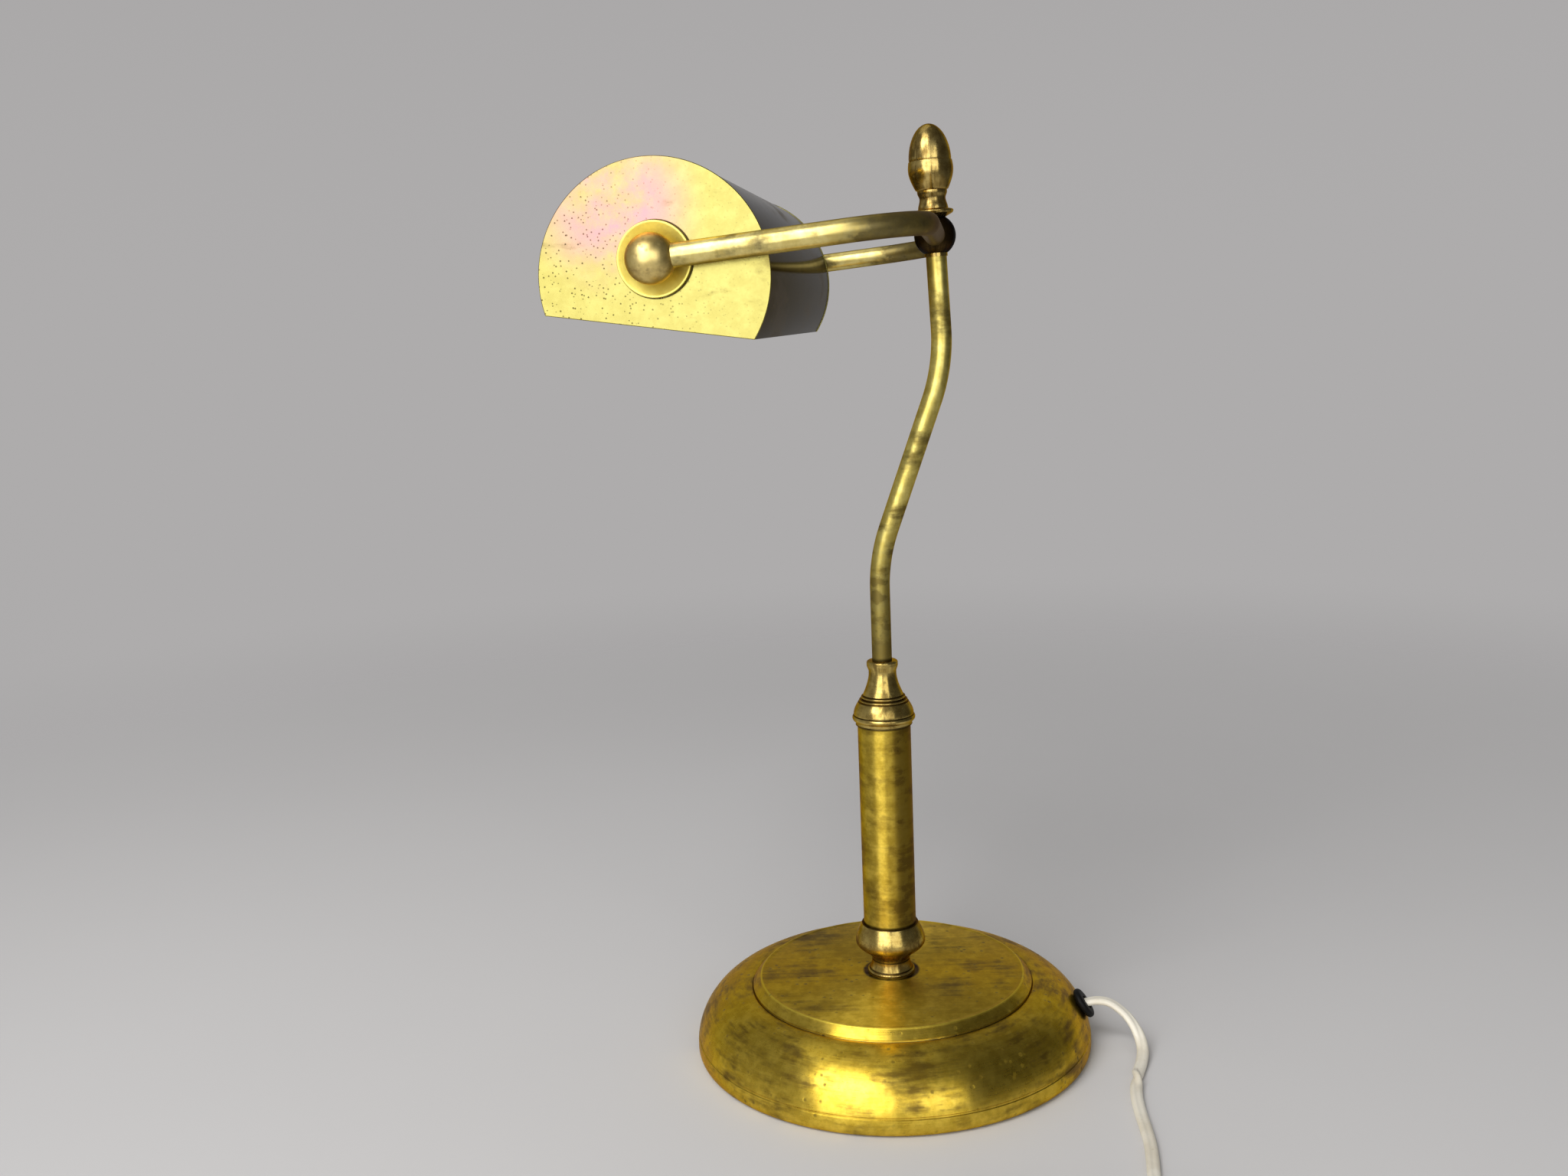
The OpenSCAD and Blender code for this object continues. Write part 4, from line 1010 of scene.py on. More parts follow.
class BuildTree(ABC):
    """A geometry node tree with named inputs, used as a modifier and then made plain mesh."""

    name: str
    inputs: dict[str, tuple[str, float | None]]

    def tree(self) -> bpy.types.NodeTree:
        """Give the tree, made on first use.

        Returns:
            The tree.
        """
        made = bpy.data.node_groups.get(self.name)
        if made is not None:
            return made
        made = bpy.data.node_groups.new(self.name, "GeometryNodeTree")
        made.interface.new_socket("Geometry", in_out="INPUT", socket_type="NodeSocketGeometry")
        for label, (kind, default) in self.inputs.items():
            socket = made.interface.new_socket(label, in_out="INPUT", socket_type=kind)
            if default is not None:
                socket.default_value = default
        made.interface.new_socket("Geometry", in_out="OUTPUT", socket_type="NodeSocketGeometry")
        graph = Graph(made)
        given = graph.add("NodeGroupInput")
        whole = graph.add("GeometryNodeRealizeInstances", None, {"Geometry": self.shape(graph, given)})
        smooth = graph.add("GeometryNodeSetShadeSmooth", None, {"Geometry": whole["Geometry"]})
        dressed = graph.add("GeometryNodeSetMaterial", None,
                            {"Geometry": smooth["Geometry"], "Material": given["Finish"]})
        graph.add("NodeGroupOutput", None, {"Geometry": dressed["Geometry"]})
        return made

    @abstractmethod
    def shape(self, graph: Graph, given: NodeOutputs) -> Socket:
        """Fill the tree and give its geometry."""

    def build(self, name: str, seed: bpy.types.ID, finish: Finish, crease: float = 32.0,
              **values: float | int) -> Piece:
        """Run the tree on a curve or a mesh of points and keep the result as plain mesh.

        Args:
            name: Name of the piece.
            seed: Curve or mesh that the tree starts from.
            finish: Finish of the piece.
            crease: Angle in degrees over which an edge shows as sharp.
            values: Values of the tree's inputs, with _ for spaces.

        Returns:
            The piece.
        """
        tree = self.tree()
        starter = bpy.data.objects.new(name + "_seed", seed)
        bpy.context.scene.collection.objects.link(starter)
        modifier = starter.modifiers.new("build", "NODES")
        modifier.node_group = tree
        wanted = {label.replace("_", " "): value for label, value in values.items()}
        wanted["Finish"] = finish.material()
        for item in tree.interface.items_tree:
            if item.in_out == "INPUT" and item.name in wanted:
                modifier[item.identifier] = wanted[item.name]
        mesh = evaluated_mesh(starter)
        bpy.data.objects.remove(starter)
        mesh.name = name
        made = bpy.data.objects.new(name, mesh)
        bpy.context.scene.collection.objects.link(made)
        shade_soft(mesh, crease)
        return made


class BentTubeTree(BuildTree):
    """A round tube along a curve, closed at both ends."""

    name = "bent_tube"
    inputs = {"Diameter": ("NodeSocketFloat", 0.01), "Sides": ("NodeSocketInt", 48),
              "Finish": ("NodeSocketMaterial", None)}

    def shape(self, graph: Graph, given: NodeOutputs) -> Socket:
        """Sweep a circle along the given curve.

        Args:
            graph: Graph of the tree.
            given: The tree's inputs.

        Returns:
            The geometry.
        """
        ring = graph.add("GeometryNodeCurvePrimitiveCircle", {"mode": "RADIUS"},
                         {"Resolution": given["Sides"], "Radius": given["Diameter"] * 0.5})
        tube = graph.add("GeometryNodeCurveToMesh", None,
                         {"Curve": given["Geometry"], "Profile Curve": ring["Curve"], "Fill Caps": True})
        return tube["Mesh"]


class SlottedScrewTree(BuildTree):
    """Slotted cheese-head screws, one on each given point, heads towards +Z or turned about X."""

    name = "slotted_screws"
    inputs = {"Head Diameter": ("NodeSocketFloat", 0.006), "Head Height": ("NodeSocketFloat", 0.0018),
              "Shank Diameter": ("NodeSocketFloat", 0.003), "Shank Length": ("NodeSocketFloat", 0.01),
              "Turn": ("NodeSocketFloat", 0.0), "Finish": ("NodeSocketMaterial", None)}

    def shape(self, graph: Graph, given: NodeOutputs) -> Socket:
        """Cut a slot in a head, add a shank and set one screw on each point.

        Args:
            graph: Graph of the tree.
            given: The tree's inputs.

        Returns:
            The geometry.
        """
        tall = given["Head Height"]
        head = graph.add("GeometryNodeMeshCylinder", None,
                         {"Vertices": 32, "Radius": given["Head Diameter"] * 0.5, "Depth": tall})
        slot = graph.add("GeometryNodeMeshCube", None,
                         {"Size": graph.vector(given["Head Diameter"] * 2, given["Head Diameter"] * 0.16,
                                               tall)})
        sunk = graph.add("GeometryNodeTransform", None,
                         {"Geometry": slot["Mesh"], "Translation": graph.vector(0.0, 0.0, tall * 0.55)})
        slotted = graph.add("GeometryNodeMeshBoolean", {"operation": "DIFFERENCE"},
                            {0: head["Mesh"], 1: sunk["Geometry"]})
        lifted = graph.add("GeometryNodeTransform", None,
                           {"Geometry": slotted["Mesh"], "Translation": graph.vector(0.0, 0.0, tall * 0.5)})
        length = given["Shank Length"]
        shank = graph.add("GeometryNodeMeshCylinder", None,
                          {"Vertices": 24, "Radius": given["Shank Diameter"] * 0.5, "Depth": length})
        hung = graph.add("GeometryNodeTransform", None,
                         {"Geometry": shank["Mesh"], "Translation": graph.vector(0.0, 0.0, length * -0.5)})
        screw = graph.add("GeometryNodeJoinGeometry")
        for part in (lifted, hung):
            graph.tree.links.new(part["Geometry"].socket, screw.node.inputs[0])
        points = graph.add("GeometryNodeMeshToPoints", None, {"Mesh": given["Geometry"]})
        placed = graph.add("GeometryNodeInstanceOnPoints", None,
                           {"Points": points["Points"], "Instance": screw["Geometry"],
                            "Rotation": graph.vector(given["Turn"], 0.0, 0.0)})
        return placed["Instances"]


class GripRibTree(BuildTree):
    """A row of rounded grip ribs on each given point, in steps along -Y."""

    name = "grip_ribs"
    inputs = {"Count": ("NodeSocketInt", 5), "Step": ("NodeSocketFloat", 0.002),
              "Rib Width": ("NodeSocketFloat", 0.0009), "Rib Length": ("NodeSocketFloat", 0.009),
              "Finish": ("NodeSocketMaterial", None)}

    def shape(self, graph: Graph, given: NodeOutputs) -> Socket:
        """Set upright rounded bars in a row on each point.

        Args:
            graph: Graph of the tree.
            given: The tree's inputs.

        Returns:
            The geometry.
        """
        step = graph.vector(0.0, given["Step"] * -1.0, 0.0)
        row = graph.add("GeometryNodeMeshLine", {"mode": "OFFSET"},
                        {"Count": given["Count"], "Offset": step})
        rib = graph.add("GeometryNodeMeshCylinder", None,
                        {"Vertices": 12, "Radius": given["Rib Width"] * 0.5, "Depth": given["Rib Length"]})
        ribs = graph.add("GeometryNodeInstanceOnPoints", None,
                         {"Points": row["Mesh"], "Instance": rib["Mesh"]})
        points = graph.add("GeometryNodeMeshToPoints", None, {"Mesh": given["Geometry"]})
        placed = graph.add("GeometryNodeInstanceOnPoints", None,
                           {"Points": points["Points"], "Instance": ribs["Instances"]})
        return placed["Instances"]


def point_mesh(name: str, points: Sequence[Sequence[float]]) -> bpy.types.Mesh:
    """Mesh of loose points, given in millimetres.

    Args:
        name: Name of the mesh.
        points: The points.

    Returns:
        The mesh.
    """
    mesh = bpy.data.meshes.new(name)
    mesh.from_pydata([Vector(p) * MM for p in points], [], [])
    return mesh


def line_curve(name: str, points: Sequence[Vector]) -> bpy.types.Curve:
    """Curve of straight steps through points, given in millimetres.

    Args:
        name: Name of the curve.
        points: The points.

    Returns:
        The curve.
    """
    made = bpy.data.curves.new(name, "CURVE")
    made.dimensions = "3D"
    spline = made.splines.new("POLY")
    spline.points.add(len(points) - 1)
    for target, point in zip(spline.points, points):
        target.co = (*(point * MM), 1.0)
    return made


# Camera, light and floor


@dataclass(frozen=True)
class SoftBox:
    """A soft light that faces the lamp, with its place and size in metres and its power in watts."""

    name: str
    place: Point
    size: Pair
    watts: float


@dataclass
class Studio:
    """Camera at the photo's viewing angle, soft lights, a pale floor and a room that dims to the right."""

    eye: Point = (763.2, 52.1, 376.0)
    yaw: float = 0.131
    pitch: float = 0.172
    roll: float = -0.041
    focal_pixels: float = 2019.8
    image_width: float = 2048.0
    sensor: float = 36.0
    floor_colour: Colour = srgb(214, 212, 211)
    floor_mottle: float = 0.96
    floor_reach: float = 9.0
    floor_fade: Pair = (0.35, 1.5)
    room_levels: tuple[Pair, ...] = (
        (0.0, 0.36), (0.3, 0.31), (0.5, 0.25), (0.7, 0.15), (1.0, 0.07))
    room_blue: float = 1.02
    backdrop: Colour = srgb(174, 172, 172)
    backdrop_side: Pair = (-0.85, -0.5)
    overhead: float = 0.9
    overhead_loss: float = 0.35
    aim: Point = (0.0, 0.0, 0.2)
    lights: tuple[SoftBox, ...] = (
        SoftBox("window_light", (1.3, -0.78, 1.85), (1.4, 1.2), 28.0),
        SoftBox("front_light", (1.9, -0.6, 0.7), (1.6, 1.6), 21.0),
        SoftBox("side_light", (1.8, 0.85, 0.75), (1.2, 1.4), 10.0),
        SoftBox("top_light", (-0.5, -0.5, 2.2), (1.6, 1.2), 4.0))

    def camera(self) -> None:
        """Make the camera."""
        ahead = Vector((-math.cos(self.yaw) * math.cos(self.pitch),
                        -math.sin(self.yaw) * math.cos(self.pitch), -math.sin(self.pitch)))
        level = ahead.cross(Vector((0, 0, 1))).normalized()
        top = level.cross(ahead)
        right = level * math.cos(self.roll) + top * math.sin(self.roll)
        up = top * math.cos(self.roll) - level * math.sin(self.roll)
        lens = bpy.data.cameras.new("camera")
        lens.sensor_width = self.sensor
        lens.lens = self.sensor * self.focal_pixels / self.image_width
        lens.clip_start = 0.01
        lens.clip_end = 100.0
        made = bpy.data.objects.new("camera", lens)
        made.matrix_world = Matrix((right, up, -ahead)).transposed().to_4x4()
        made.location = Vector(self.eye) * MM
        bpy.context.scene.collection.objects.link(made)
        bpy.context.scene.camera = made

    def hang(self, box: SoftBox) -> None:
        """Hang a soft box that faces the lamp.

        Args:
            box: The light.
        """
        light = bpy.data.lights.new(box.name, "AREA")
        light.shape = "RECTANGLE"
        light.size, light.size_y = box.size
        light.energy = box.watts
        made = bpy.data.objects.new(box.name, light)
        made.location = box.place
        made.rotation_mode = "QUATERNION"
        made.rotation_quaternion = (Vector(self.aim) - Vector(box.place)).to_track_quat("-Z", "Y")
        made.visible_camera = False
        bpy.context.scene.collection.objects.link(made)

    def floor(self) -> None:
        """Lay the floor, which fades into the room far from the lamp."""
        mesh = bpy.data.meshes.new("floor")
        reach = self.floor_reach
        corners = [(-reach, -reach, 0), (reach, -reach, 0), (reach, reach, 0), (-reach, reach, 0)]
        mesh.from_pydata(corners, [], [(0, 1, 2, 3)])
        made = bpy.data.objects.new("floor", mesh)
        bpy.context.scene.collection.objects.link(made)
        cloth = bpy.data.materials.new("floor")
        cloth.use_nodes = True
        graph = Graph(cloth.node_tree)
        place = graph.add("ShaderNodeTexCoord")["Object"]
        x, y, _ = graph.split(place)
        darker = tuple(self.floor_mottle * c for c in self.floor_colour)
        pale = graph.blend(self.floor_colour, darker, graph.noise(place, 3.0, 3.0))
        near = graph.add("ShaderNodeBsdfPrincipled", None, {"Base Color": pale, "Roughness": 0.85})
        far = graph.add("ShaderNodeBsdfTransparent")
        share = (x * x + y * y).math("SQRT").between(*self.floor_fade)
        mixed = graph.add("ShaderNodeMixShader", None, {0: share, 1: near["BSDF"], 2: far["BSDF"]})
        graph.add("ShaderNodeOutputMaterial", None, {"Surface": mixed["Shader"]})
        mesh.materials.append(cloth)

    def sky(self) -> None:
        """Light the room: a pale backdrop ahead, paler on the left, dimmer on the right and overhead."""
        world = bpy.data.worlds.new("room")
        world.use_nodes = True
        bpy.context.scene.world = world
        graph = Graph(world.node_tree)
        ahead, side, height = graph.split(graph.add("ShaderNodeTexCoord")["Generated"])
        stops = [(place, (level, level, self.room_blue * level)) for place, level in self.room_levels]
        tone = graph.add("ShaderNodeValToRGB", {"stops": stops}, {"Fac": side * 0.5 + 0.5})
        pale = graph.blend(tone["Color"], self.backdrop, 1 - ahead.between(*self.backdrop_side))
        level = 1 - self.overhead_loss * height.between(0.0, self.overhead)
        shade = graph.add("ShaderNodeBackground", None, {"Color": pale, "Strength": level})
        graph.add("ShaderNodeOutputWorld", None, {"Surface": shade["Background"]})

    def build(self) -> None:
        """Set the camera, the floor and the light."""
        bpy.context.scene.view_settings.view_transform = "Standard"
        self.camera()
        self.floor()
        self.sky()
        for box in self.lights:
            self.hang(box)


# The lamp


@dataclass
class Cord:
    """Flat twin cord: the run to the switch, the coil, the switch, the tie and the plug.

    Falling, lying and rising are points on the run's middle. Tail is steps past the coil and down from it.
    """

    width: float = 6.0
    thickness: float = 3.6
    dome_middle: Point = (0.0, 73.0, 4.0)
    dome_radius: float = 29.5
    exit_angle: float = 34.0
    exit_slope: float = 12.0
    exit_depth: float = 2.0
    grommet_height: float = 3.6
    switch_at: Point = (164.0, 122.0, 4.4)
    switch_size: Point = (56.0, 25.0, 15.0)
    exit_run: float = 6.0
    falling: tuple[Point, ...] = (
        (0.5, 110.6, 22.6), (1.5, 115.6, 20.3), (4.0, 121.4, 15.6), (8.5, 125.8, 9.2), (16.0, 127.2, 4.2),
        (26.0, 125.6, 2.3))
    lying: tuple[Pair, ...] = (
        (37.0, 122.8), (50.0, 120.8), (62.0, 120.0), (76.0, 120.3), (90.0, 121.2), (104.0, 121.8),
        (118.0, 121.3), (131.0, 120.6))
    lying_gap: float = 0.1
    rising: Point = (144.0, 121.0, 2.8)
    entry_run: float = 7.0
    flat_share: float = 0.62
    groove_depth: float = 0.3
    groove_width: float = 0.55
    link_start: float = 4.0
    link_radius: float = 24.0
    link_steps: int = 12
    coil_gap: float = 6.0
    coil_turns: int = 6
    coil_radius: float = 36.0
    coil_pitch: float = 6.9
    coil_layer: float = 4.4
    coil_lift: float = 0.65
    tail: tuple[Pair, ...] = ((12.0, 0.0), (26.0, 0.2))
    plug_run: float = 6.0
    plug_drop: float = 44.0
    plug_thickness: float = 13.7
    twist_from: float = 34.0
    twist_to: float = 52.0
    twist_under: float = 5.0

    def exit_point(self) -> Vector:
        """Middle of the cord where it starts, inside the grommet.

        Returns:
            The point.
        """
        turn = math.radians(self.exit_angle)
        outward = Vector((0, math.cos(turn), math.sin(turn)))
        return Vector(self.dome_middle) + outward * (self.dome_radius + self.exit_depth)

    def exit_heading(self) -> Vector:
        """Direction in which the cord leaves."""
        turn = math.radians(self.exit_slope)
        return Vector((0, math.cos(turn), math.sin(turn)))

    def run_route(self) -> list[Vector]:
        """Route from the grommet over the table to the switch.

        Returns:
            The points of the route.
        """
        start, entry = self.exit_point(), Vector(self.switch_at)
        height = self.thickness / 2 + self.lying_gap
        lying = [(x, y, height) for x, y in self.lying]
        points = [start, start + self.exit_run * self.exit_heading()]
        points += [Vector(p) for p in (*self.falling, *lying, self.rising)]
        return points + [entry - Vector((self.entry_run, 0, 0)), entry]

    def coil_middle(self) -> Vector:
        """Middle of the coil on the table.

        Returns:
            The point.
        """
        away = self.switch_size[0] + self.link_start + self.link_radius - self.coil_outer()
        aside = self.switch_size[1] / 2 + self.coil_gap + self.coil_outer() + self.width / 2
        return Vector((self.switch_at[0] + away, self.switch_at[1] - aside, 0))

    def coil_outer(self) -> float:
        """Radius of the coil's outermost turn."""
        return self.coil_radius + self.coil_pitch * self.coil_turns / 4

    def spare_route(self, steps: int = 48) -> list[Vector]:
        """Route from the switch through the coil to the plug.

        Args:
            steps: Points in each turn of the coil.

        Returns:
            The points of the route.
        """
        out = Vector(self.switch_at) + Vector((self.switch_size[0], 0, 0))
        low = self.coil_lift + self.thickness / 2
        middle, outer = self.coil_middle(), self.coil_outer()
        inner = self.coil_radius - self.coil_pitch * self.coil_turns / 4
        elbow = out + Vector((self.link_start, -self.link_radius, 0))
        route = [out + Vector((self.link_start * k / 2, 0, 0)) for k in range(3)]
        for left in range(85, -1, -5):
            turn = math.radians(left)
            height = low + (out.z - low) * left / 90
            side = Vector((math.cos(turn), math.sin(turn), 0)) * self.link_radius
            route.append(Vector((elbow.x + side.x, elbow.y + side.y, height)))
        edge = middle.x + outer
        top, gap = route[-1].y, route[-1].y - middle.y
        route += [Vector((edge, top - gap * k / self.link_steps, low)) for k in range(1, self.link_steps)]
        for i in range(steps * self.coil_turns + 1):
            turn = i / steps
            radius = inner + self.coil_pitch * abs(turn - self.coil_turns / 2)
            climb = min(max((turn - self.coil_turns / 2) * 2 + 0.5, 0.0), 1.0)
            height = low + self.coil_layer * climb * climb * (3 - 2 * climb)
            angle = -2 * math.pi * turn
            route.append(middle + Vector((radius * math.cos(angle), radius * math.sin(angle), height)))
        entry = self.plug_at()
        high = low + self.coil_layer
        tail = [Vector((edge, middle.y - along, high - down)) for along, down in self.tail]
        tail += [entry + Vector((0, self.plug_run, 0)), entry]
        return route + smooth_path([route[-1], *tail], 4)[1:]

    def plug_at(self) -> Vector:
        """Where the cord enters the plug."""
        middle = self.coil_middle()
        return Vector((middle.x + self.coil_outer(), middle.y - self.plug_drop, self.plug_thickness / 2))

    def section(self, count: int = 28) -> Profile:
        """Outline of the twin cord: two round cores side by side in one sheath.

        Args:
            count: Points of the outline.

        Returns:
            The outline, anticlockwise.
        """
        core = self.thickness / 2
        apart = self.width / 2 - core
        squeeze = core / (core + (1 - self.flat_share) * apart)
        made = []
        for k in range(count):
            turn = 2 * math.pi * k / count
            x = self.width / 2 * math.cos(turn)
            past = max(abs(x) - apart * self.flat_share, 0.0) * squeeze
            rise = math.sqrt(max(core ** 2 - past ** 2, 0.0))
            groove = self.groove_depth * math.exp(-(x / self.groove_width) ** 2)
            made.append((x, math.copysign(max(rise - groove, 0.0), math.sin(turn))))
        return made

    def sweep(self, name: str, path: Sequence[Vector],
              twist: Callable[[Vector], float]) -> Piece:
        """Draw the cord's section along a path.

        Args:
            name: Name of the piece.
            path: Middle of the cord.
            twist: Turn of the section in radians at a point of the path.

        Returns:
            The piece.
        """
        outline = self.section()
        rings = []
        for i, point in enumerate(path):
            ahead = (path[min(i + 1, len(path) - 1)] - path[max(i - 1, 0)]).normalized()
            across = ahead.cross(Vector((0, 0, 1))).normalized()
            up = across.cross(ahead)
            turn = twist(point)
            wide = across * math.cos(turn) + up * math.sin(turn)
            tall = up * math.cos(turn) - across * math.sin(turn)
            rings.append([point + wide * x + tall * y for x, y in outline])
        return Form().loft([ring[::-1] for ring in rings]).piece(name, 60.0)

    def twist_at(self, point: Vector) -> float:
        """Half turn that the cord takes where it lies behind the base.

        Args:
            point: A point of the cord.

        Returns:
            The turn in radians.
        """
        share = (point.x - self.twist_from) / (self.twist_to - self.twist_from)
        share = min(max(share, 0.0), 1.0) if point.z < self.twist_under else 0.0
        return math.pi * share * share * (3 - 2 * share)

    def run(self) -> tuple[Piece, list[Vector]]:
        """Make the run of cord that shows.

        Returns:
            The piece and its path.
        """
        path = smooth_path(self.run_route(), 8)
        lean = self.width / 2 - self.thickness / 2
        path = [p + Vector((0, 0, lean * abs(math.sin(self.twist_at(p))))) for p in path]
        return self.sweep("mains_cord", path, self.twist_at), path

    def spare(self) -> tuple[Piece, list[Vector]]:
        """Make the spare cord in its coil."""
        path = self.spare_route()
        return self.sweep("spare_cord", path, lambda point: 0.0), path

    def build(self) -> None:
        run, run_path = self.run()
        spare, spare_path = self.spare()
        finish_piece(run, IVORY_CORD, "stand", "ivory", "cord_run")
        finish_piece(spare, IVORY_CORD, "stand", "ivory", "cord_link", "cord_coil")
        switch = CordSwitch(self).build()
        plug = Plug(self).build()
        run_path[0] * MM
        path_length(run_path) * MM
        [p * MM for p in run_path]
        spare_path[0] * MM
        path_length(spare_path) * MM
        [p * MM for p in spare_path]


@dataclass
class CordSwitch:
    """Rocker switch in the cord: two case halves, a rocker and screws."""

    cord: Cord
    corner: float = 6.0
    edge: float = 1.6
    window_gap: float = 1.0
    rocker_length: float = 16.0
    rocker_width: float = 10.0
    rocker_height: float = 11.5
    rocker_lean: float = 8.0
    rocker_proud: float = 1.1
    rocker_dish: float = 1.2
    rocker_steps: int = 12
    rocker_keel: Pair = (3.0, 3.4)
    rocker_flank: float = 2.0
    seam: float = 0.24
    window_side: float = 0.2
    window_corner: float = 1.0
    window_edge: float = 0.2
    recess: Pair = (6.0, 3.2)
    recess_reach: Pair = (5.0, 12.0)
    shank: float = 3.0
    screw: Pair = (5.4, 1.6)
    screw_inset: float = 5.0
    screw_sink: float = 0.5
    screw_length: float = 9.9

    def screw_seats(self) -> list[Vector]:
        """Undersides of the two screw heads, which face the table.

        Returns:
            The two points.
        """
        along, across, _ = self.cord.switch_size
        at = Vector((self.cord.switch_at[0], self.cord.switch_at[1] + across / 2 - self.screw_inset,
                     self.screw_sink + self.screw[1]))
        return [at + Vector((x, 0, 0)) for x in (self.corner, along - self.corner)]

    def screws(self) -> Piece:
        """The two screws that hold the halves together.

        Returns:
            The piece.
        """
        seats = point_mesh("switch_screw_seats", self.screw_seats())
        return SlottedScrewTree().build(
            "switch_screw_pair", seats, PLAIN_STEEL, Head_Diameter=self.screw[0] * MM,
            Head_Height=self.screw[1] * MM, Shank_Diameter=self.shank * MM,
            Shank_Length=self.screw_length * MM, Turn=math.pi)

    def half(self, name: str, low: float, high: float) -> Piece:
        """One half of the case.

        Args:
            name: Name of the piece.
            low: Height of its underside.
            high: Height of its top.

        Returns:
            The piece.
        """
        length, width, _ = self.cord.switch_size
        corners = [(0, -width / 2), (length, -width / 2), (length, width / 2), (0, width / 2)]
        outline = rounded(corners, self.corner, 8)
        form = Form().slab(outline, low, high, self.edge)
        place = Vector((self.cord.switch_at[0], self.cord.switch_at[1], 0))
        return form.placed(Matrix.Translation(place)).piece(name, 40.0)

    def pivot(self) -> Matrix:
        """Place and lean of the rocker, with Y along its pin.

        Returns:
            The place.
        """
        length = self.cord.switch_size[0]
        place = Vector((self.cord.switch_at[0] + length / 2, self.cord.switch_at[1], self.rocker_height))
        return Matrix.Translation(place) @ spin(-self.rocker_lean, "Y")

    def rocker(self) -> Piece:
        """The rocker, dished along its top.

        Returns:
            The piece.
        """
        half, flank = self.rocker_length / 2, self.rocker_flank
        top = self.cord.switch_size[2] - self.rocker_height + self.rocker_proud
        keel, deep = self.rocker_keel
        upper = []
        for k in range(self.rocker_steps + 1):
            share = k / self.rocker_steps
            dish = self.rocker_dish * (1 - (1 - 2 * share) ** 2)
            upper.append((half - self.rocker_length * share, top - dish))
        side = rounded([(-half, flank), (-keel, -deep), (keel, -deep), (half, flank)] + upper, 0.4, 3)
        rings = []
        for share, draw in ((-1, 0.5), (-0.94, 0.1), (-0.9, 0), (0.9, 0), (0.94, 0.1), (1, 0.5)):
            y = share * self.rocker_width / 2
            rings.append([Vector((x, y, z)) for x, z in inset(side, draw)])
        form = Form().loft([ring[::-1] for ring in rings])
        return form.placed(self.pivot()).piece("switch_rocker_cap", 40.0)

    def build(self) -> list[Piece]:
        """Make the switch and give its pieces.

        Returns:
            The pieces.
        """
        height, pin = self.cord.switch_size[2], self.pivot().translation
        middle = height / 2
        lower = self.half("switch_case_lower", 0.0, middle - self.seam / 2)
        upper = self.half("switch_case_upper", middle + self.seam / 2, height)
        along, across = self.rocker_length / 2 + self.window_gap, self.rocker_width / 2 + self.window_side
        corners = [(-along, -across), (along, -across), (along, across), (-along, across)]
        window = Form().slab(rounded(corners, self.window_corner), middle - 1, height + 1, self.window_edge)
        window.placed(Matrix.Translation(Vector((pin.x, pin.y, 0))))
        cut(upper, window.piece("window_tool"), 40.0)
        (wide, narrow), (down, up) = self.recess, self.recess_reach
        stepped = [(0, -down), (wide / 2, -down), (wide / 2, 0), (narrow / 2, 0), (narrow / 2, up), (0, up)]
        for seat in self.screw_seats():
            recess = Form().lathe(stepped, 32)
            cut(lower, recess.placed(Matrix.Translation(seat)).piece("recess_tool"), 40.0)
        pieces = [finish_piece(lower, IVORY_CASE, "stand", "ivory", "switch_base"),
                  finish_piece(upper, IVORY_CASE, "stand", "ivory", "switch_cover"),
                  finish_piece(self.screws(), PLAIN_STEEL, "stand", "steel", "switch_screws")]
        finish_piece(self.rocker(), IVORY_CASE, "rocker", "ivory", "switch_rocker")
        return pieces + [dress_node("switch_contacts", CUP_BRASS)]


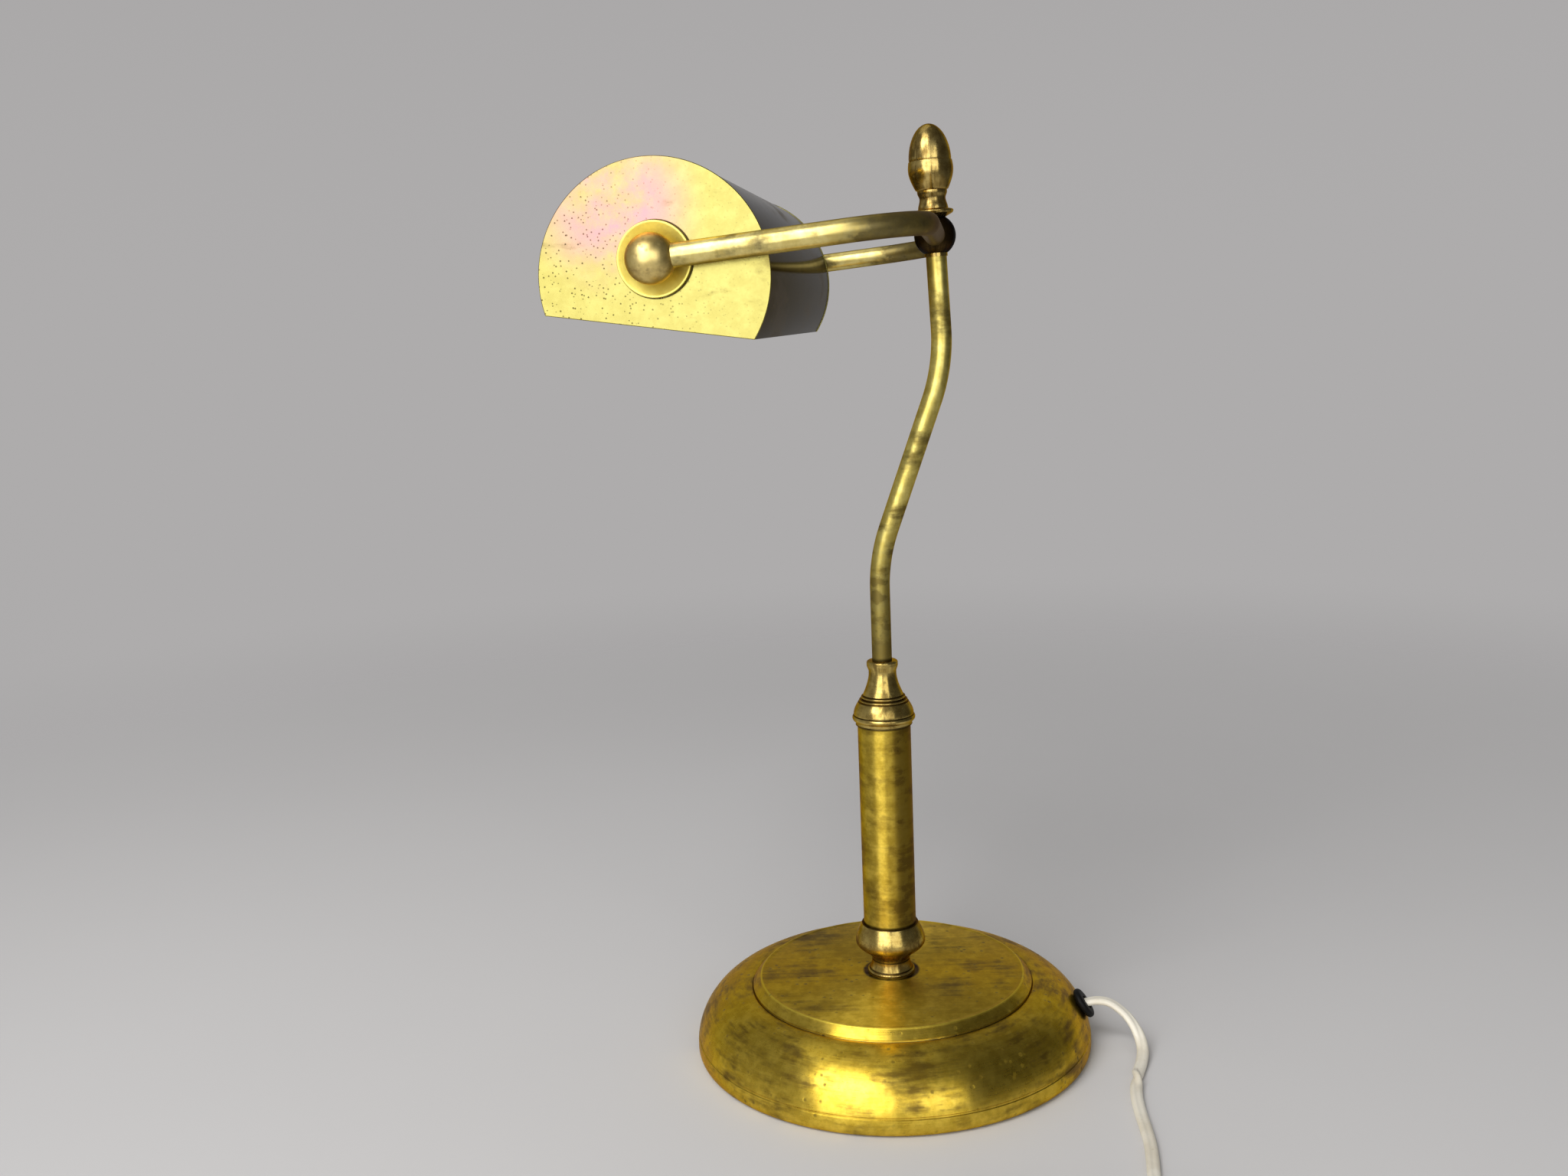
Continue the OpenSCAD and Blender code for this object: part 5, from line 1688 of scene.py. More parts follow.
@dataclass
class Plug:
    """Flat two-pin plug with grip ribs, and the tie round the coil."""

    cord: Cord
    length: float = 37.0
    width: float = 35.3
    tail: float = 18.0
    pin: float = 4.0
    pin_length: float = 19.0
    pin_pitch: float = 18.6
    pin_seat: float = 6.0
    edge: float = 3.0
    corner: float = 4.0
    tail_flare: Pair = (1.0, 10.0)
    shoulder: float = 24.0
    rib: Pair = (1.0, 7.5)
    rib_count: int = 4
    rib_step: float = 2.2
    rib_sink: float = 0.1
    rib_start: float = 25.5

    def body(self) -> Piece:
        """The moulded body.

        Returns:
            The piece.
        """
        wide, narrow, (flare, waist) = self.width / 2, self.tail / 2, self.tail_flare
        right = [(wide, -self.length), (wide, -self.shoulder), (narrow + flare, -waist), (narrow, 0)]
        corners = [(-x, y) for x, y in reversed(right)] + right
        form = Form().slab(rounded(corners, self.corner, 6), 0.0, self.cord.plug_thickness, self.edge)
        at = self.cord.plug_at()
        return form.placed(Matrix.Translation(Vector((at.x, at.y, 0)))).piece("plug_case", 45.0)

    def pins(self) -> Piece:
        """Both pins, with rounded tips.

        Returns:
            The piece.
        """
        radius, tall = self.pin / 2, self.pin_seat + self.pin_length
        outline = [(0, 0), (radius, 0), *arc((radius - 1, tall - 1), 1.0, 0, 90, 6), (0, tall)]
        at = self.cord.plug_at()
        form = Form()
        for side in (-1, 1):
            place = Vector((at.x + side * self.pin_pitch / 2, at.y + self.pin_seat - self.length, at.z))
            one = Form().lathe(outline, 32)
            one.placed(Matrix.Translation(place) @ spin(90, "X"))
            shift = len(form.points)
            form.points += one.points
            form.faces += [tuple(i + shift for i in face) for face in one.faces]
        return form.piece("plug_contact_pins")

    def ribs(self) -> Piece:
        """Grip ribs on both flanks of the plug.

        Returns:
            The piece.
        """
        at = self.cord.plug_at()
        out = self.width / 2 - self.rib_sink
        seats = [(at.x + side * out, at.y - self.rib_start, at.z) for side in (-1, 1)]
        return GripRibTree().build("plug_grip_ribs", point_mesh("rib_seats", seats), IVORY_CASE,
                                   Count=self.rib_count, Step=self.rib_step * MM,
                                   Rib_Width=self.rib[0] * MM, Rib_Length=self.rib[1] * MM)

    def build(self) -> list[Piece]:
        """Make the plug and give its pieces.

        Returns:
            The pieces.
        """
        pieces = [finish_piece(self.body(), IVORY_CASE, "stand", "ivory", "plug_body"),
                  finish_piece(self.pins(), PLAIN_STEEL, "stand", "steel", "plug_pins"),
                  finish_piece(self.ribs(), IVORY_CASE, "stand", "ivory")]
        return pieces + [dress_node("coil_tie", DARK_PHENOLIC)]


def dress_node(node: str, finish: Finish) -> Piece:
    """Give a CAD node that stays in sight its finish.

    Args:
        node: Name of the node.
        finish: Its finish.

    Returns:
        The node's object.
    """
    found = bpy.data.objects[node]
    found.data.materials.clear()
    found.data.materials.append(finish.material())
    LOG.info("%s keeps its CAD shape", node)
    return found


@dataclass
class Base:
    """Spun base with its grommet, weight, board and felt."""

    cord: Cord
    diameter: float = 205.0
    dome_radius: float = 29.5
    dome_foot: float = 4.0
    step_height: float = 5.0
    step_gap: float = 0.5
    step_round: float = 4.2
    wall: float = 1.2
    rim_lift: float = 0.8
    rim_in: float = 1.9
    hole: float = 5.2
    line_angle: float = 11.0
    line_half: float = 0.7
    line_depth: float = 0.35
    bevel_in: float = 0.33
    bevel_soft: float = 0.8
    ring_radius: float = 66.0
    ring_half: float = 0.5
    ring_depth: float = 0.14
    disc_middle: float = 40.0
    notch: Pair = (0.25, 0.35)
    grommet: float = 16.0
    grommet_hole: float = 10.4
    bore: float = 3.4
    clamp_screw: Pair = (6.0, 1.8)
    clamp_shank: float = 3.0
    clamp_pitch: float = 16.0

    def height(self) -> float:
        """Height of the top disc."""
        return self.dome_foot + self.dome_radius + self.step_height

    def outline(self) -> Profile:
        """Outline of the spun shell, with its two turned lines.

        Returns:
            The outline.
        """
        radius = self.diameter / 2
        middle = (radius - self.dome_radius, self.dome_foot)
        step = middle[0] - self.step_gap
        top, groove = self.height(), self.dome_foot + self.dome_radius
        rim = []
        for k in range(13):
            turn = math.radians(7.5 * k - 90)
            rim.append((radius - self.rim_in * (1 - math.cos(turn)),
                        self.dome_foot + (self.dome_foot - self.rim_lift) * math.sin(turn)))
        line, half = self.line_angle, self.line_half
        dome = arc(middle, self.dome_radius, 0, line - 2 * half, 3)
        dome += arc(middle, self.dome_radius - self.line_depth, line - half, line + half, 1)
        dome += arc(middle, self.dome_radius, line + 2 * half, 89, 44)
        soft, bend = self.bevel_soft, self.step_round + 0.5
        bevel = [(step, top - self.step_round)]
        bevel += arc((step - self.step_round - self.bevel_in, top - soft), soft, 45, 90, 4)
        ring, side = self.ring_radius, self.ring_half
        disc = [(ring + side, top), (ring, top - self.ring_depth), (ring - side, top),
                (self.disc_middle, top), (self.hole, top), (self.hole, top - self.wall)]
        inner = [(step - bend, top - self.wall), (step - self.wall, top - bend),
                 (step - self.wall, groove - self.wall)]
        inner += arc(middle, self.dome_radius - self.wall, 90, 0, 32)
        inner += [(r - self.wall, z) for r, z in reversed(rim)]
        notch = [(step + self.notch[0], groove - self.notch[1]), (step, groove)]
        return rim + dome[1:] + notch + bevel + disc + inner

    def exit_place(self) -> Matrix:
        """Middle of the dome's curve behind the column, with Z out along the cord's exit."""
        return Matrix.Translation(self.cord.dome_middle) @ spin(self.cord.exit_angle - 90, "X")

    def bore_tool(self, radius: float, matrix: Matrix, low: float, high: float) -> Piece:
        """Cylinder about a place's Z axis, from low to high, that cuts a hole."""
        outline = [(0, low), (radius, low), (radius, high), (0, high)]
        return Form().lathe(outline, 48).placed(matrix).piece("bore_tool")

    def shell(self) -> None:
        """Make the spun shell with the cord's hole."""
        made = Form().lathe(self.outline(), 192).piece("base_dome", 38.0)
        cut(made, self.bore_tool(self.grommet_hole / 2, self.exit_place(), 12, 40), 38.0)
        finish_piece(made, BASE_BRASS, "stand", "spun_brass", "base_shell")

    def rubber(self) -> None:
        """Make the rubber grommet, bored along the cord."""
        neck = self.grommet_hole / 2 - 0.05
        back = neck + 1.5
        low = math.sqrt((self.dome_radius - self.wall) ** 2 - back ** 2) - 0.1
        high = self.dome_radius + self.cord.grommet_height
        roll = self.cord.grommet_height / 2
        outline = [(0, low - 2.5), (back - 0.5, low - 2.5), (back, low - 2.0), (back, low), (neck, low),
                   (neck, self.dome_radius)]
        outline += arc((self.grommet / 2 - roll, self.dome_radius + roll), roll, -90, 90, 16) + [(0, high)]
        made = Form().lathe(outline, 64).placed(self.exit_place()).piece("grommet_rubber", 50.0)
        along = Matrix.Translation(self.cord.exit_point()) @ spin(self.cord.exit_slope - 90, "X")
        cut(made, self.bore_tool(self.bore, along, -25, 25), 50.0)
        finish_piece(made, BLACK_RUBBER, "stand", "rubber", "cord_grommet")

    def screws(self) -> None:
        """Make the two screws of the cord clamp inside the base."""
        low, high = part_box("clamp_screws")
        head, tall = self.clamp_screw
        seat = high.z / MM - tall
        seats = [(side * self.clamp_pitch / 2, (low.y + high.y) / 2 / MM, seat) for side in (-1, 1)]
        made = SlottedScrewTree().build(
            "clamp_screw_pair", point_mesh("screw_seats", seats), PLAIN_STEEL, Head_Diameter=head * MM,
            Head_Height=tall * MM, Shank_Diameter=self.clamp_shank * MM,
            Shank_Length=high.z - tall * MM - low.z)
        finish_piece(made, PLAIN_STEEL, "stand", "steel", "clamp_screws")

    def build(self) -> None:
        """Make the base's pieces."""
        self.shell()
        self.rubber()
        self.screws()
        hidden = {"base_weight": RAW_IRON, "base_cover": BROWN_BOARD, "felt_pad": GREEN_FELT,
                  "tie_rod": PLAIN_STEEL, "rod_washer": PLAIN_STEEL, "rod_nut": PLAIN_STEEL,
                  "inner_lead": IVORY_CORD, "cord_clamp": DARK_PHENOLIC, "terminal_block": IVORY_CASE}
        for node, finish in hidden.items():
            dress_node(node, finish)


@dataclass
class Column:
    """Turned foot, tube and collar of the column.

    Turnings are the collar's shoulder, two rings and throat: how far in from the bead, and how high.
    """

    base_height: float = 38.5
    tube: float = 27.0
    tube_wall: float = 1.0
    shown: float = 106.0
    lip: float = 0.9
    fit: float = 0.05
    flange: float = 24.4
    flange_thickness: float = 1.8
    neck: Pair = (9.8, 7.0)
    bulge: Pair = (18.0, 17.0)
    foot_height: float = 27.0
    foot_socket: float = 8.5
    rod_hole: float = 5.2
    bead: float = 32.0
    bead_radius: float = 1.8
    bead_height: float = 3.7
    turnings: tuple[Pair, ...] = ((0.7, 5.4), (3.7, 12.0), (4.7, 13.7), (5.7, 15.4))
    ring_round: float = 0.6
    waist: float = 7.0
    waist_drop: float = 5.8
    mouth_lip: float = 7.9
    lip_round: float = 1.1
    collar_height: float = 33.0
    collar_socket: float = 4.5
    stem: float = 10.0
    stem_depth: float = 15.0
    rod: float = 10.0

    def foot(self) -> None:
        """Make the turned foot: flange, neck, bulge and rim."""
        flange, half = self.flange / 2, self.flange_thickness / 2
        rim = (self.tube / 2 + self.lip, self.foot_height)
        socket = self.tube / 2 + self.fit
        floor = self.foot_height - self.foot_socket
        outline = [(self.rod_hole, 0), (flange - 0.5, 0)]
        outline += arc((flange - half, half), half, -60, 75, 10)
        outline += curve((flange - 1, self.flange_thickness), self.neck, cove)[1:]
        outline += curve(self.neck, self.bulge, ogee)[1:] + curve(self.bulge, rim, swell)[1:]
        outline += [(rim[0] - 0.25, rim[1]), (socket, rim[1]), (socket, floor), (self.rod_hole, floor)]
        lift = Matrix.Translation((0, 0, self.base_height))
        made = Form().lathe(outline, 160).placed(lift).piece("column_foot_turning", 40.0)
        finish_piece(made, TURNED_BRASS, "stand", "spun_brass", "column_foot")

    def pipe(self) -> None:
        """Make the column's tube."""
        low = self.base_height + self.foot_height - self.foot_socket
        high = self.base_height + self.foot_height + self.shown + self.collar_socket
        outer, inner = self.tube / 2, self.tube / 2 - self.tube_wall
        steps = [(outer, low + (high - low) * k / 12) for k in range(13)]
        made = Form().lathe(steps + [(inner, high), (inner, low)], 160).piece("column_pipe", 40.0)
        finish_piece(made, COLUMN_BRASS, "stand", "spun_brass", "column_tube")

    def collar(self) -> None:
        """Make the turned collar: bead, shoulder, two rings, waist and rolled lip."""
        shoulder, ring, second, throat = [(self.bead / 2 - draw, z) for draw, z in self.turnings]
        skirt, small = self.tube / 2 + self.lip, self.ring_round
        top, curl = self.collar_height, self.lip_round
        waist = (self.waist, top - self.waist_drop)
        mouth, rod = self.stem / 2 + self.fit, self.rod / 2 + self.fit
        socket, seat = self.tube / 2 + self.fit, top - self.stem_depth
        outline = [(socket, 0), (skirt, 0), (skirt, self.bead_height - self.bead_radius)]
        outline += arc((self.bead / 2 - self.bead_radius, self.bead_height), self.bead_radius, -75, 40, 16)
        outline += [(shoulder[0] - 0.3, shoulder[1] - 0.3)]
        outline += curve(shoulder, (ring[0] + 0.4, ring[1]), swell)
        outline += arc((ring[0] - small, ring[1] + small + 0.05), small, -50, 70, 8)
        outline += [(ring[0] - 1.3, ring[1] + 1.4)]
        outline += arc((second[0] - small, second[1] + small), small, -50, 70, 8)
        outline += [(throat[0] - 0.2, throat[1] - 0.3)] + curve(throat, waist, cove)
        outline += curve(waist, (self.mouth_lip, top - 2 * curl), ogee, 10)[1:]
        outline += arc((self.mouth_lip - curl, top - curl), curl, -10, 90, 10)
        outline += [(mouth, top), (mouth, seat), (rod, seat), (rod, self.collar_socket),
                    (socket, self.collar_socket)]
        lift = Matrix.Translation((0, 0, self.base_height + self.foot_height + self.shown))
        made = Form().lathe(outline, 160).placed(lift).piece("column_collar_turning", 40.0)
        finish_piece(made, TURNED_BRASS, "stand", "spun_brass", "column_collar")

    def build(self) -> None:
        """Make the column's pieces."""
        self.foot()
        self.pipe()
        self.collar()


class Side(Enum):
    """End of the shade: near the camera or far from it."""

    NEAR = 1
    FAR = -1

    @property
    def word(self) -> str:
        """The side in the names of its pieces."""
        return self.name.lower()


@dataclass
class StemAndFork:
    """Bent stem, swivel ball, fork arms and pivot balls."""

    hub: Vector
    shade: Shade
    tube: float = 10.0
    fit: float = 0.05
    collar_top: float = 204.5
    stem_depth: float = 15.0
    stem_turn: float = 52.3
    stem_slope: float = 20.0
    stem_lean: float = 2.5
    stem_bend: float = 90.0
    fork_bend: float = 34.0
    ball: float = 20.0
    ball_bore: float = 4.0
    seat_gap: float = 0.1
    seat_ring: float = 5.5
    ring_thickness: float = 1.6
    arm_start: float = 5.0
    arm_end: float = 5.2
    pivot_ball: float = 21.0
    pivot_seat: float = 5.75
    stud_depth: float = 4.0

    def arm_x(self) -> float:
        """Distance of an arm's end from the shade's middle."""
        return self.shade.length / 2 + self.shade.cup_sheet + self.fit + self.pivot_flat()

    def seat(self, side: Side) -> Vector:
        """Middle of a side's pivot ball."""
        return Vector((side.value * self.arm_x(), self.shade.pivot.y, self.shade.pivot.z))

    def hub_flat(self) -> float:
        """Distance of the ball's flats from its centre."""
        return math.sqrt((self.ball / 2) ** 2 - (self.seat_ring + self.seat_gap) ** 2)

    @staticmethod
    def bend(before: Vector, corner: Vector, after: Vector, radius: float, steps: int = 20) -> list[Vector]:
        """Round a corner of a tube's route.

        Args:
            before: A point on the run before the corner.
            corner: Where the two runs would meet.
            after: A point on the run after it.
            radius: Radius of the bend.
            steps: Steps of the bend.

        Returns:
            Points of the bend.
        """
        back, ahead = (before - corner).normalized(), (after - corner).normalized()
        half = back.angle(ahead) / 2
        middle = corner + (back + ahead).normalized() * (radius / math.sin(half))
        start = corner + back * (radius / math.tan(half)) - middle
        turn = math.pi - 2 * half
        axis = back.cross(ahead).normalized()
        return [middle + Matrix.Rotation(-turn * k / steps, 3, axis) @ start for k in range(steps + 1)]

    def stem(self) -> None:
        """Make the stem: upright, swept back, and leaning forward under the ball."""
        lean = math.radians(self.stem_lean)
        axis = Vector((0, -math.sin(lean), math.cos(lean)))
        foot = Vector((0, 0, self.collar_top - self.stem_depth))
        low = Vector((0, 0, self.collar_top + self.stem_turn))
        slope = math.tan(math.radians(self.stem_slope))
        back = (self.hub.y + (self.hub.z - low.z) * math.tan(lean)) / (1 + math.tan(lean) / slope)
        high = Vector((0, back, low.z + back / slope))
        end = self.hub - axis * (self.hub_flat() + self.ring_thickness)
        path = [foot, *self.bend(foot, low, high, self.stem_bend)]
        path += [*self.bend(low, high, end, self.stem_bend), end]
        made = BentTubeTree().build("stem_pipe", line_curve("stem_route", path), STEM_BRASS, 50.0,
                                    Diameter=self.tube * MM, Sides=64)
        finish_piece(made, STEM_BRASS, "stand", "spun_brass", "stem_tube")

    def arm(self, side: Side) -> None:
        """Make one arm of the fork.

        Args:
            side: The arm's side.
        """
        name = side.word + "_fork_arm"
        start = self.hub + Vector((side.value * self.arm_start, 0, 0))
        corner = self.hub + Vector((side.value * self.arm_x(), 0, 0))
        end = self.seat(side) + (corner - self.seat(side)).normalized() * self.arm_end
        path = [start, *self.bend(start, corner, end, self.fork_bend), end]
        made = BentTubeTree().build(name, line_curve(name + "_route", path), FORK_BRASS, 50.0,
                                    Diameter=self.tube * MM, Sides=64)
        finish_piece(made, FORK_BRASS, "head", "worn_brass", side.word + "_arm")

    def hub_place(self) -> Matrix:
        """Place of the swivel ball, with Z along the stem's top."""
        return Matrix.Translation(self.hub) @ spin(self.stem_lean, "X")

    def swivel(self) -> None:
        """Make the swivel ball with its two flats."""
        turn = math.degrees(math.acos((self.seat_ring + self.seat_gap) / (self.ball / 2)))
        flat, bore = self.hub_flat(), self.ball_bore
        outline = [(bore, -flat), *arc((0, 0), self.ball / 2, -turn, turn, 40), (bore, flat)]
        made = Form().lathe(outline, 96).placed(self.hub_place()).piece("swivel_knuckle", 50.0)
        finish_piece(made, KNUCKLE_BRASS, "head", "worn_brass", "swivel_ball")

    def pivot_place(self, side: Side) -> Matrix:
        """Place of a side's pivot ball, with Z towards the shade."""
        return Matrix.Translation(self.seat(side)) @ spin(-90 * side.value, "Y")

    def pivot_flat(self) -> float:
        """Distance of a pivot ball's flat from its centre."""
        return math.sqrt((self.pivot_ball / 2) ** 2 - self.pivot_seat ** 2)

    def pivot_knob(self, side: Side) -> None:
        """Make one pivot ball.

        Args:
            side: The ball's side.
        """
        turn = math.degrees(math.acos(self.pivot_seat / (self.pivot_ball / 2)))
        hole, deep = self.shade.stud, -self.stud_depth
        outline = arc((0, 0), self.pivot_ball / 2, -90, turn, 48)
        outline += [(hole, self.pivot_flat()), (hole, deep), (0, deep)]
        outline[0] = (0.0, -self.pivot_ball / 2)
        form = Form().lathe(outline, 96).placed(self.pivot_place(side))
        made = form.piece(side.word + "_pivot_knob", 50.0)
        finish_piece(made, PIVOT_BRASS, "head", "worn_brass", side.word + "_pivot_ball")

    def build(self) -> None:
        """Make the stem's and the fork's pieces."""
        self.stem()
        dress_node("stem_nipple", FINIAL_BRASS)
        self.swivel()
        for side in Side:
            self.arm(side)
            self.pivot_knob(side)
            for node in ("stud", "washer", "nut"):
                dress_node(f"{side.word}_{node}", PLAIN_STEEL)


@dataclass
class Finial:
    """Finial in two turned pieces: a cup and an acorn with a seam between them."""

    place: Matrix
    low: float
    flange: float = 9.6
    neck: float = 6.25
    belly: float = 10.8
    seam: float = 34.8
    acorn: float = 10.15
    acorn_height: float = 17.3
    bore: float = 4.0
    seat: float = 5.5

    def cup(self) -> None:
        """Make the flange, neck and cup."""
        low = self.low
        neck, bottom = (self.neck, low + 9), (self.neck + 0.9, low + 12)
        belly = (self.belly, self.seam - 3.7)
        outline = [(self.bore, low), (self.seat, low), (self.flange - 0.4, low + 1.9)]
        outline += arc((self.flange - 0.8, low + 2.9), 0.8, -45, 70, 10)
        outline += curve((self.flange - 2.4, low + 4.2), neck, ogee, 16)
        outline += curve(neck, bottom, ogee, 12)[1:]
        outline += [(bottom[0], low + 12.8), (bottom[0] + 0.7, low + 13.2)]
        outline += curve((bottom[0] + 0.7, low + 13.2), belly, cove, 20)[1:]
        outline += curve(belly, (self.belly - 0.4, self.seam), swell, 8)[1:] + [(self.bore, self.seam)]
        made = Form().lathe(outline, 128).placed(self.place).piece("finial_cup_turning", 40.0)
        finish_piece(made, FINIAL_BRASS, "finial", "worn_brass", "finial_cup")

    def nut(self) -> None:
        """Make the acorn: half an ellipse."""
        outline = [(0.0, self.seam), (self.acorn - 0.25, self.seam)]
        for k in range(1, 36):
            turn = math.radians(2.5 * k)
            outline.append((self.acorn * math.cos(turn), self.seam + self.acorn_height * math.sin(turn)))
        outline.append((0.0, self.seam + self.acorn_height))
        made = Form().lathe(outline, 128).placed(self.place).piece("finial_acorn_turning", 40.0)
        finish_piece(made, FINIAL_BRASS, "finial", "worn_brass", "finial_acorn")

    def build(self) -> None:
        """Make the finial's pieces."""
        self.cup()
        self.nut()


@dataclass
class Shade:
    """Trough shade: shell, end plates and pivot cups."""

    pivot: Vector
    length: float = 250.0
    radius: float = 48.5
    wall: float = 0.8
    rise: float = 7.5
    drop: float = 20.5
    lip: float = 0.4
    tilt: float = 8.5
    cup: float = 15.7
    cup_depth: float = 3.2
    cup_sheet: float = 1.15
    cup_floor: float = 9.25
    cup_edge: float = 0.8
    cup_soft: float = 0.5
    stud: float = 3.05

    def place(self) -> Matrix:
        """Place of the shade, with its pivots on X."""
        return Matrix.Translation(self.pivot) @ spin(-self.tilt, "X")

    def round_line(self, radius: float, steps: int = 120) -> Profile:
        """Round part of the shade's outline in Y and Z, from rear edge over the top to front edge."""
        low = math.degrees(math.asin(self.drop / radius))
        return [(y, z - self.rise) for y, z in arc((0, 0), radius, -low, 180 + low, steps)]

    def shell(self) -> None:
        """Make the rolled sheet."""
        outer, inner = self.round_line(self.radius), self.round_line(self.radius - self.wall)
        outline = outer + inner[::-1]
        half = self.length / 2 - self.wall
        stations = [-half + 2 * half * k / 24 for k in range(25)]
        rings = [[Vector((x, y, z)) for y, z in outline] for x in stations]
        made = Form().loft(rings).placed(self.place()).piece("shade_trough", 40.0)
        finish_piece(made, SHADE_BRASS, "shade", "spun_brass", "shade_shell")

    def end(self, side: Side, turn: float) -> Matrix:
        """Place of a side's pivot on the shade's end, turned about Y by degrees."""
        at = Matrix.Translation((side.value * self.length / 2, 0, 0))
        return self.place() @ at @ spin(turn, "Y")

    def plate(self, side: Side) -> None:
        """Make one end plate, with a softened edge.

        Args:
            side: The plate's side.
        """
        outline = self.round_line(self.radius + self.lip, 160)
        low, high = self.length / 2 - self.wall, self.length / 2
        edges = [(low, 0.25), (low + 0.2, 0.05), (low + 0.3, 0.0), (high - 0.3, 0.0), (high - 0.15, 0.08),
                 (high, 0.3)]
        rings = [[Vector((side.value * x, y, z)) for y, z in inset(outline, draw)] for x, draw in edges]
        rings = rings if side is Side.NEAR else [ring[::-1] for ring in rings]
        made = Form().loft(rings).placed(self.place()).piece(side.word + "_shade_end", 30.0)
        tool = Form().lathe([(0, -2), (self.stud, -2), (self.stud, 2), (0, 2)], 40)
        cut(made, tool.placed(self.end(side, 90)).piece("stud_tool"), 30.0)
        finish_piece(made, PLATE_BRASS, "shade", "pale_brass", side.word + "_end_plate")

    def dish(self, side: Side) -> None:
        """Make one dished cup, open towards its pivot ball.

        Args:
            side: The cup's side.
        """
        rim, depth, sheet = self.cup, self.cup_depth, self.cup_sheet
        corners = [(self.stud, 0), (self.cup_floor, 0), (rim, depth - sheet), (rim, depth),
                   (rim - self.cup_edge, depth), (self.cup_floor, sheet), (self.stud, sheet)]
        form = Form().lathe(rounded(corners, self.cup_soft, 4), 96)
        made = form.placed(self.end(side, 90 * side.value)).piece(side.word + "_pivot_dish", 50.0)
        finish_piece(made, CUP_BRASS, "shade", "pale_brass", side.word + "_cup")

    def build(self) -> None:
        """Make the shade's pieces."""
        self.shell()
        for side in Side:
            self.plate(side)
            self.dish(side)


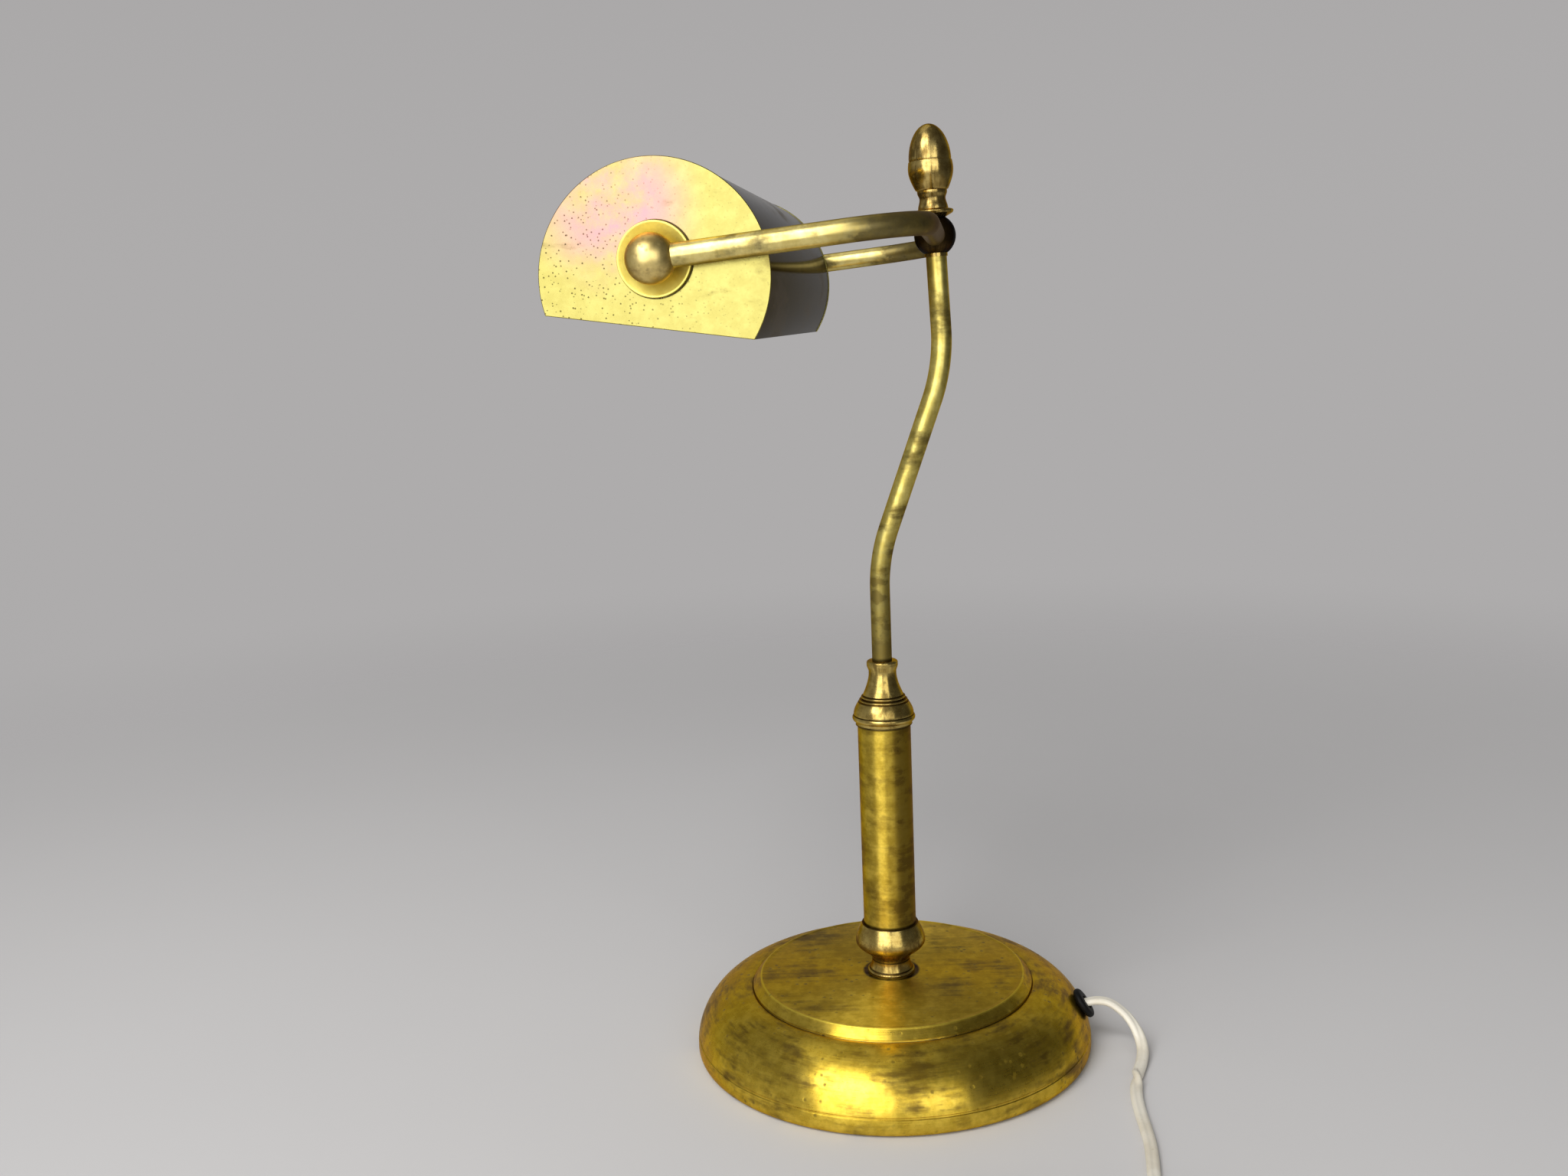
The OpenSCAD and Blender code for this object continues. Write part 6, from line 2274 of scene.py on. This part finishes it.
@dataclass
class Lampholder:
    """Bracket, holder and tubular bulb inside the shade."""

    shade: Shade
    cap_x: float = -103.2
    cap_length: float = 15.0
    barrel_length: float = 32.0
    barrel_floor: float = 6.0
    holder: float = 28.0
    nipple: float = 10.0
    bulb_cap: float = 13.6
    bulb_cap_length: float = 26.0
    bulb: float = 25.0
    bulb_length: float = 92.0
    thread_pitch: float = 2.8
    thread_depth: float = 0.3
    thread_start: float = 4.0
    wire_bore: float = 3.5
    nipple_length: float = 6.2
    cap_round: float = 6.0
    rib_start: float = 4.0
    rib_pitch: float = 4.4
    rib_count: int = 5
    glass_neck: float = 12.0

    def along(self, x: float) -> Matrix:
        """Place on the bulb's axis, x from the shade's middle, with Z along the shade."""
        at = Matrix.Translation((x, 0, -self.shade.rise))
        return self.shade.place() @ at @ spin(90, "Y")

    def cap(self) -> None:
        """Make the holder's cap with its nipple."""
        radius = self.holder / 2
        bore, start, bend = self.wire_bore, -self.nipple_length, self.cap_round
        outline = [(bore, start), (self.nipple / 2, start), (self.nipple / 2, 0)]
        outline += arc((radius - bend, bend), bend, -90, 0, 14) + [(radius, self.cap_length - 0.4)]
        outline += [(radius - 0.4, self.cap_length), (bore, self.cap_length)]
        made = Form().lathe(outline, 96).placed(self.along(self.cap_x)).piece("holder_cap_moulding", 40.0)
        finish_piece(made, DARK_PHENOLIC, "shade", "phenolic", "holder_cap")

    def barrel(self) -> None:
        """Make the holder's ribbed barrel."""
        radius, inner = self.holder / 2 - 1, self.bulb_cap / 2 + 0.2
        outline = [(0, 0), (radius, 0)]
        for k in range(self.rib_count):
            low = self.rib_start + self.rib_pitch * k
            outline += [(radius, low), (radius - 0.5, low + 0.5), (radius - 0.5, low + 1.3),
                        (radius, low + 1.8)]
        outline += arc((radius - 1, self.barrel_length - 1), 1.0, 0, 90, 6)
        outline += [(inner, self.barrel_length), (inner, self.barrel_floor), (0, self.barrel_floor)]
        start = self.cap_x + self.cap_length
        made = Form().lathe(outline, 96).placed(self.along(start)).piece("holder_barrel_moulding", 40.0)
        finish_piece(made, DARK_PHENOLIC, "shade", "phenolic", "holder_barrel")

    def glass_start(self) -> float:
        """Where the bulb's glass starts along the shade."""
        return self.cap_x + self.cap_length + self.barrel_floor + self.bulb_cap_length

    def screw_cap(self) -> None:
        """Make the bulb's threaded cap."""
        radius, low = self.bulb_cap / 2, self.thread_start
        outline = [(0, 0), (2.5, 0), (radius - 1, 3)]
        for k in range(49):
            height = low + (self.bulb_cap_length - low) * k / 48
            wave = math.cos(2 * math.pi * (height - low) / self.thread_pitch)
            outline.append((radius - self.thread_depth + self.thread_depth * wave, height))
        outline.append((0, self.bulb_cap_length))
        start = self.glass_start() - self.bulb_cap_length
        made = Form().lathe(outline, 64).placed(self.along(start)).piece("bulb_screw_cap", 50.0)
        finish_piece(made, PLAIN_STEEL, "shade", "steel", "bulb_cap")

    def glass(self) -> None:
        """Make the tubular glass, rounded at its end."""
        radius = self.bulb / 2
        outline = [(0, 0)] + curve((self.bulb_cap / 2, 0), (radius, self.glass_neck), ogee)
        outline += arc((0, self.bulb_length - radius), radius, 0, 90, 24)
        outline[-1] = (0.0, self.bulb_length)
        made = Form().lathe(outline, 96).placed(self.along(self.glass_start())).piece("bulb_envelope", 60.0)
        finish_piece(made, OPAL_GLASS, "shade", "bulb_glass", "bulb_glass")

    def build(self) -> None:
        """Make the lampholder's pieces."""
        self.cap()
        self.barrel()
        self.screw_cap()
        self.glass()
        dress_node("holder_bracket", PLAIN_STEEL)
        dress_node("holder_nut", PLAIN_STEEL)


def main() -> None:
    """Build the lamp round its frame."""
    logging.basicConfig(level=logging.INFO, format="%(name)s: %(message)s")
    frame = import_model()
    joints = {joint["name"]: Vector(joint["pos_m"]) / MM for joint in frame["joints"]}
    Studio().build()
    cord = Cord()
    cord.build()
    Base(cord).build()
    Column().build()
    shade = Shade(joints["shade_tilt"])
    shade.build()
    Lampholder(shade).build()
    fork = StemAndFork(joints["head_swivel"], shade)
    fork.build()
    Finial(fork.hub_place(), fork.hub_flat() + fork.fit).build()


if __name__ == "__main__":
    main()
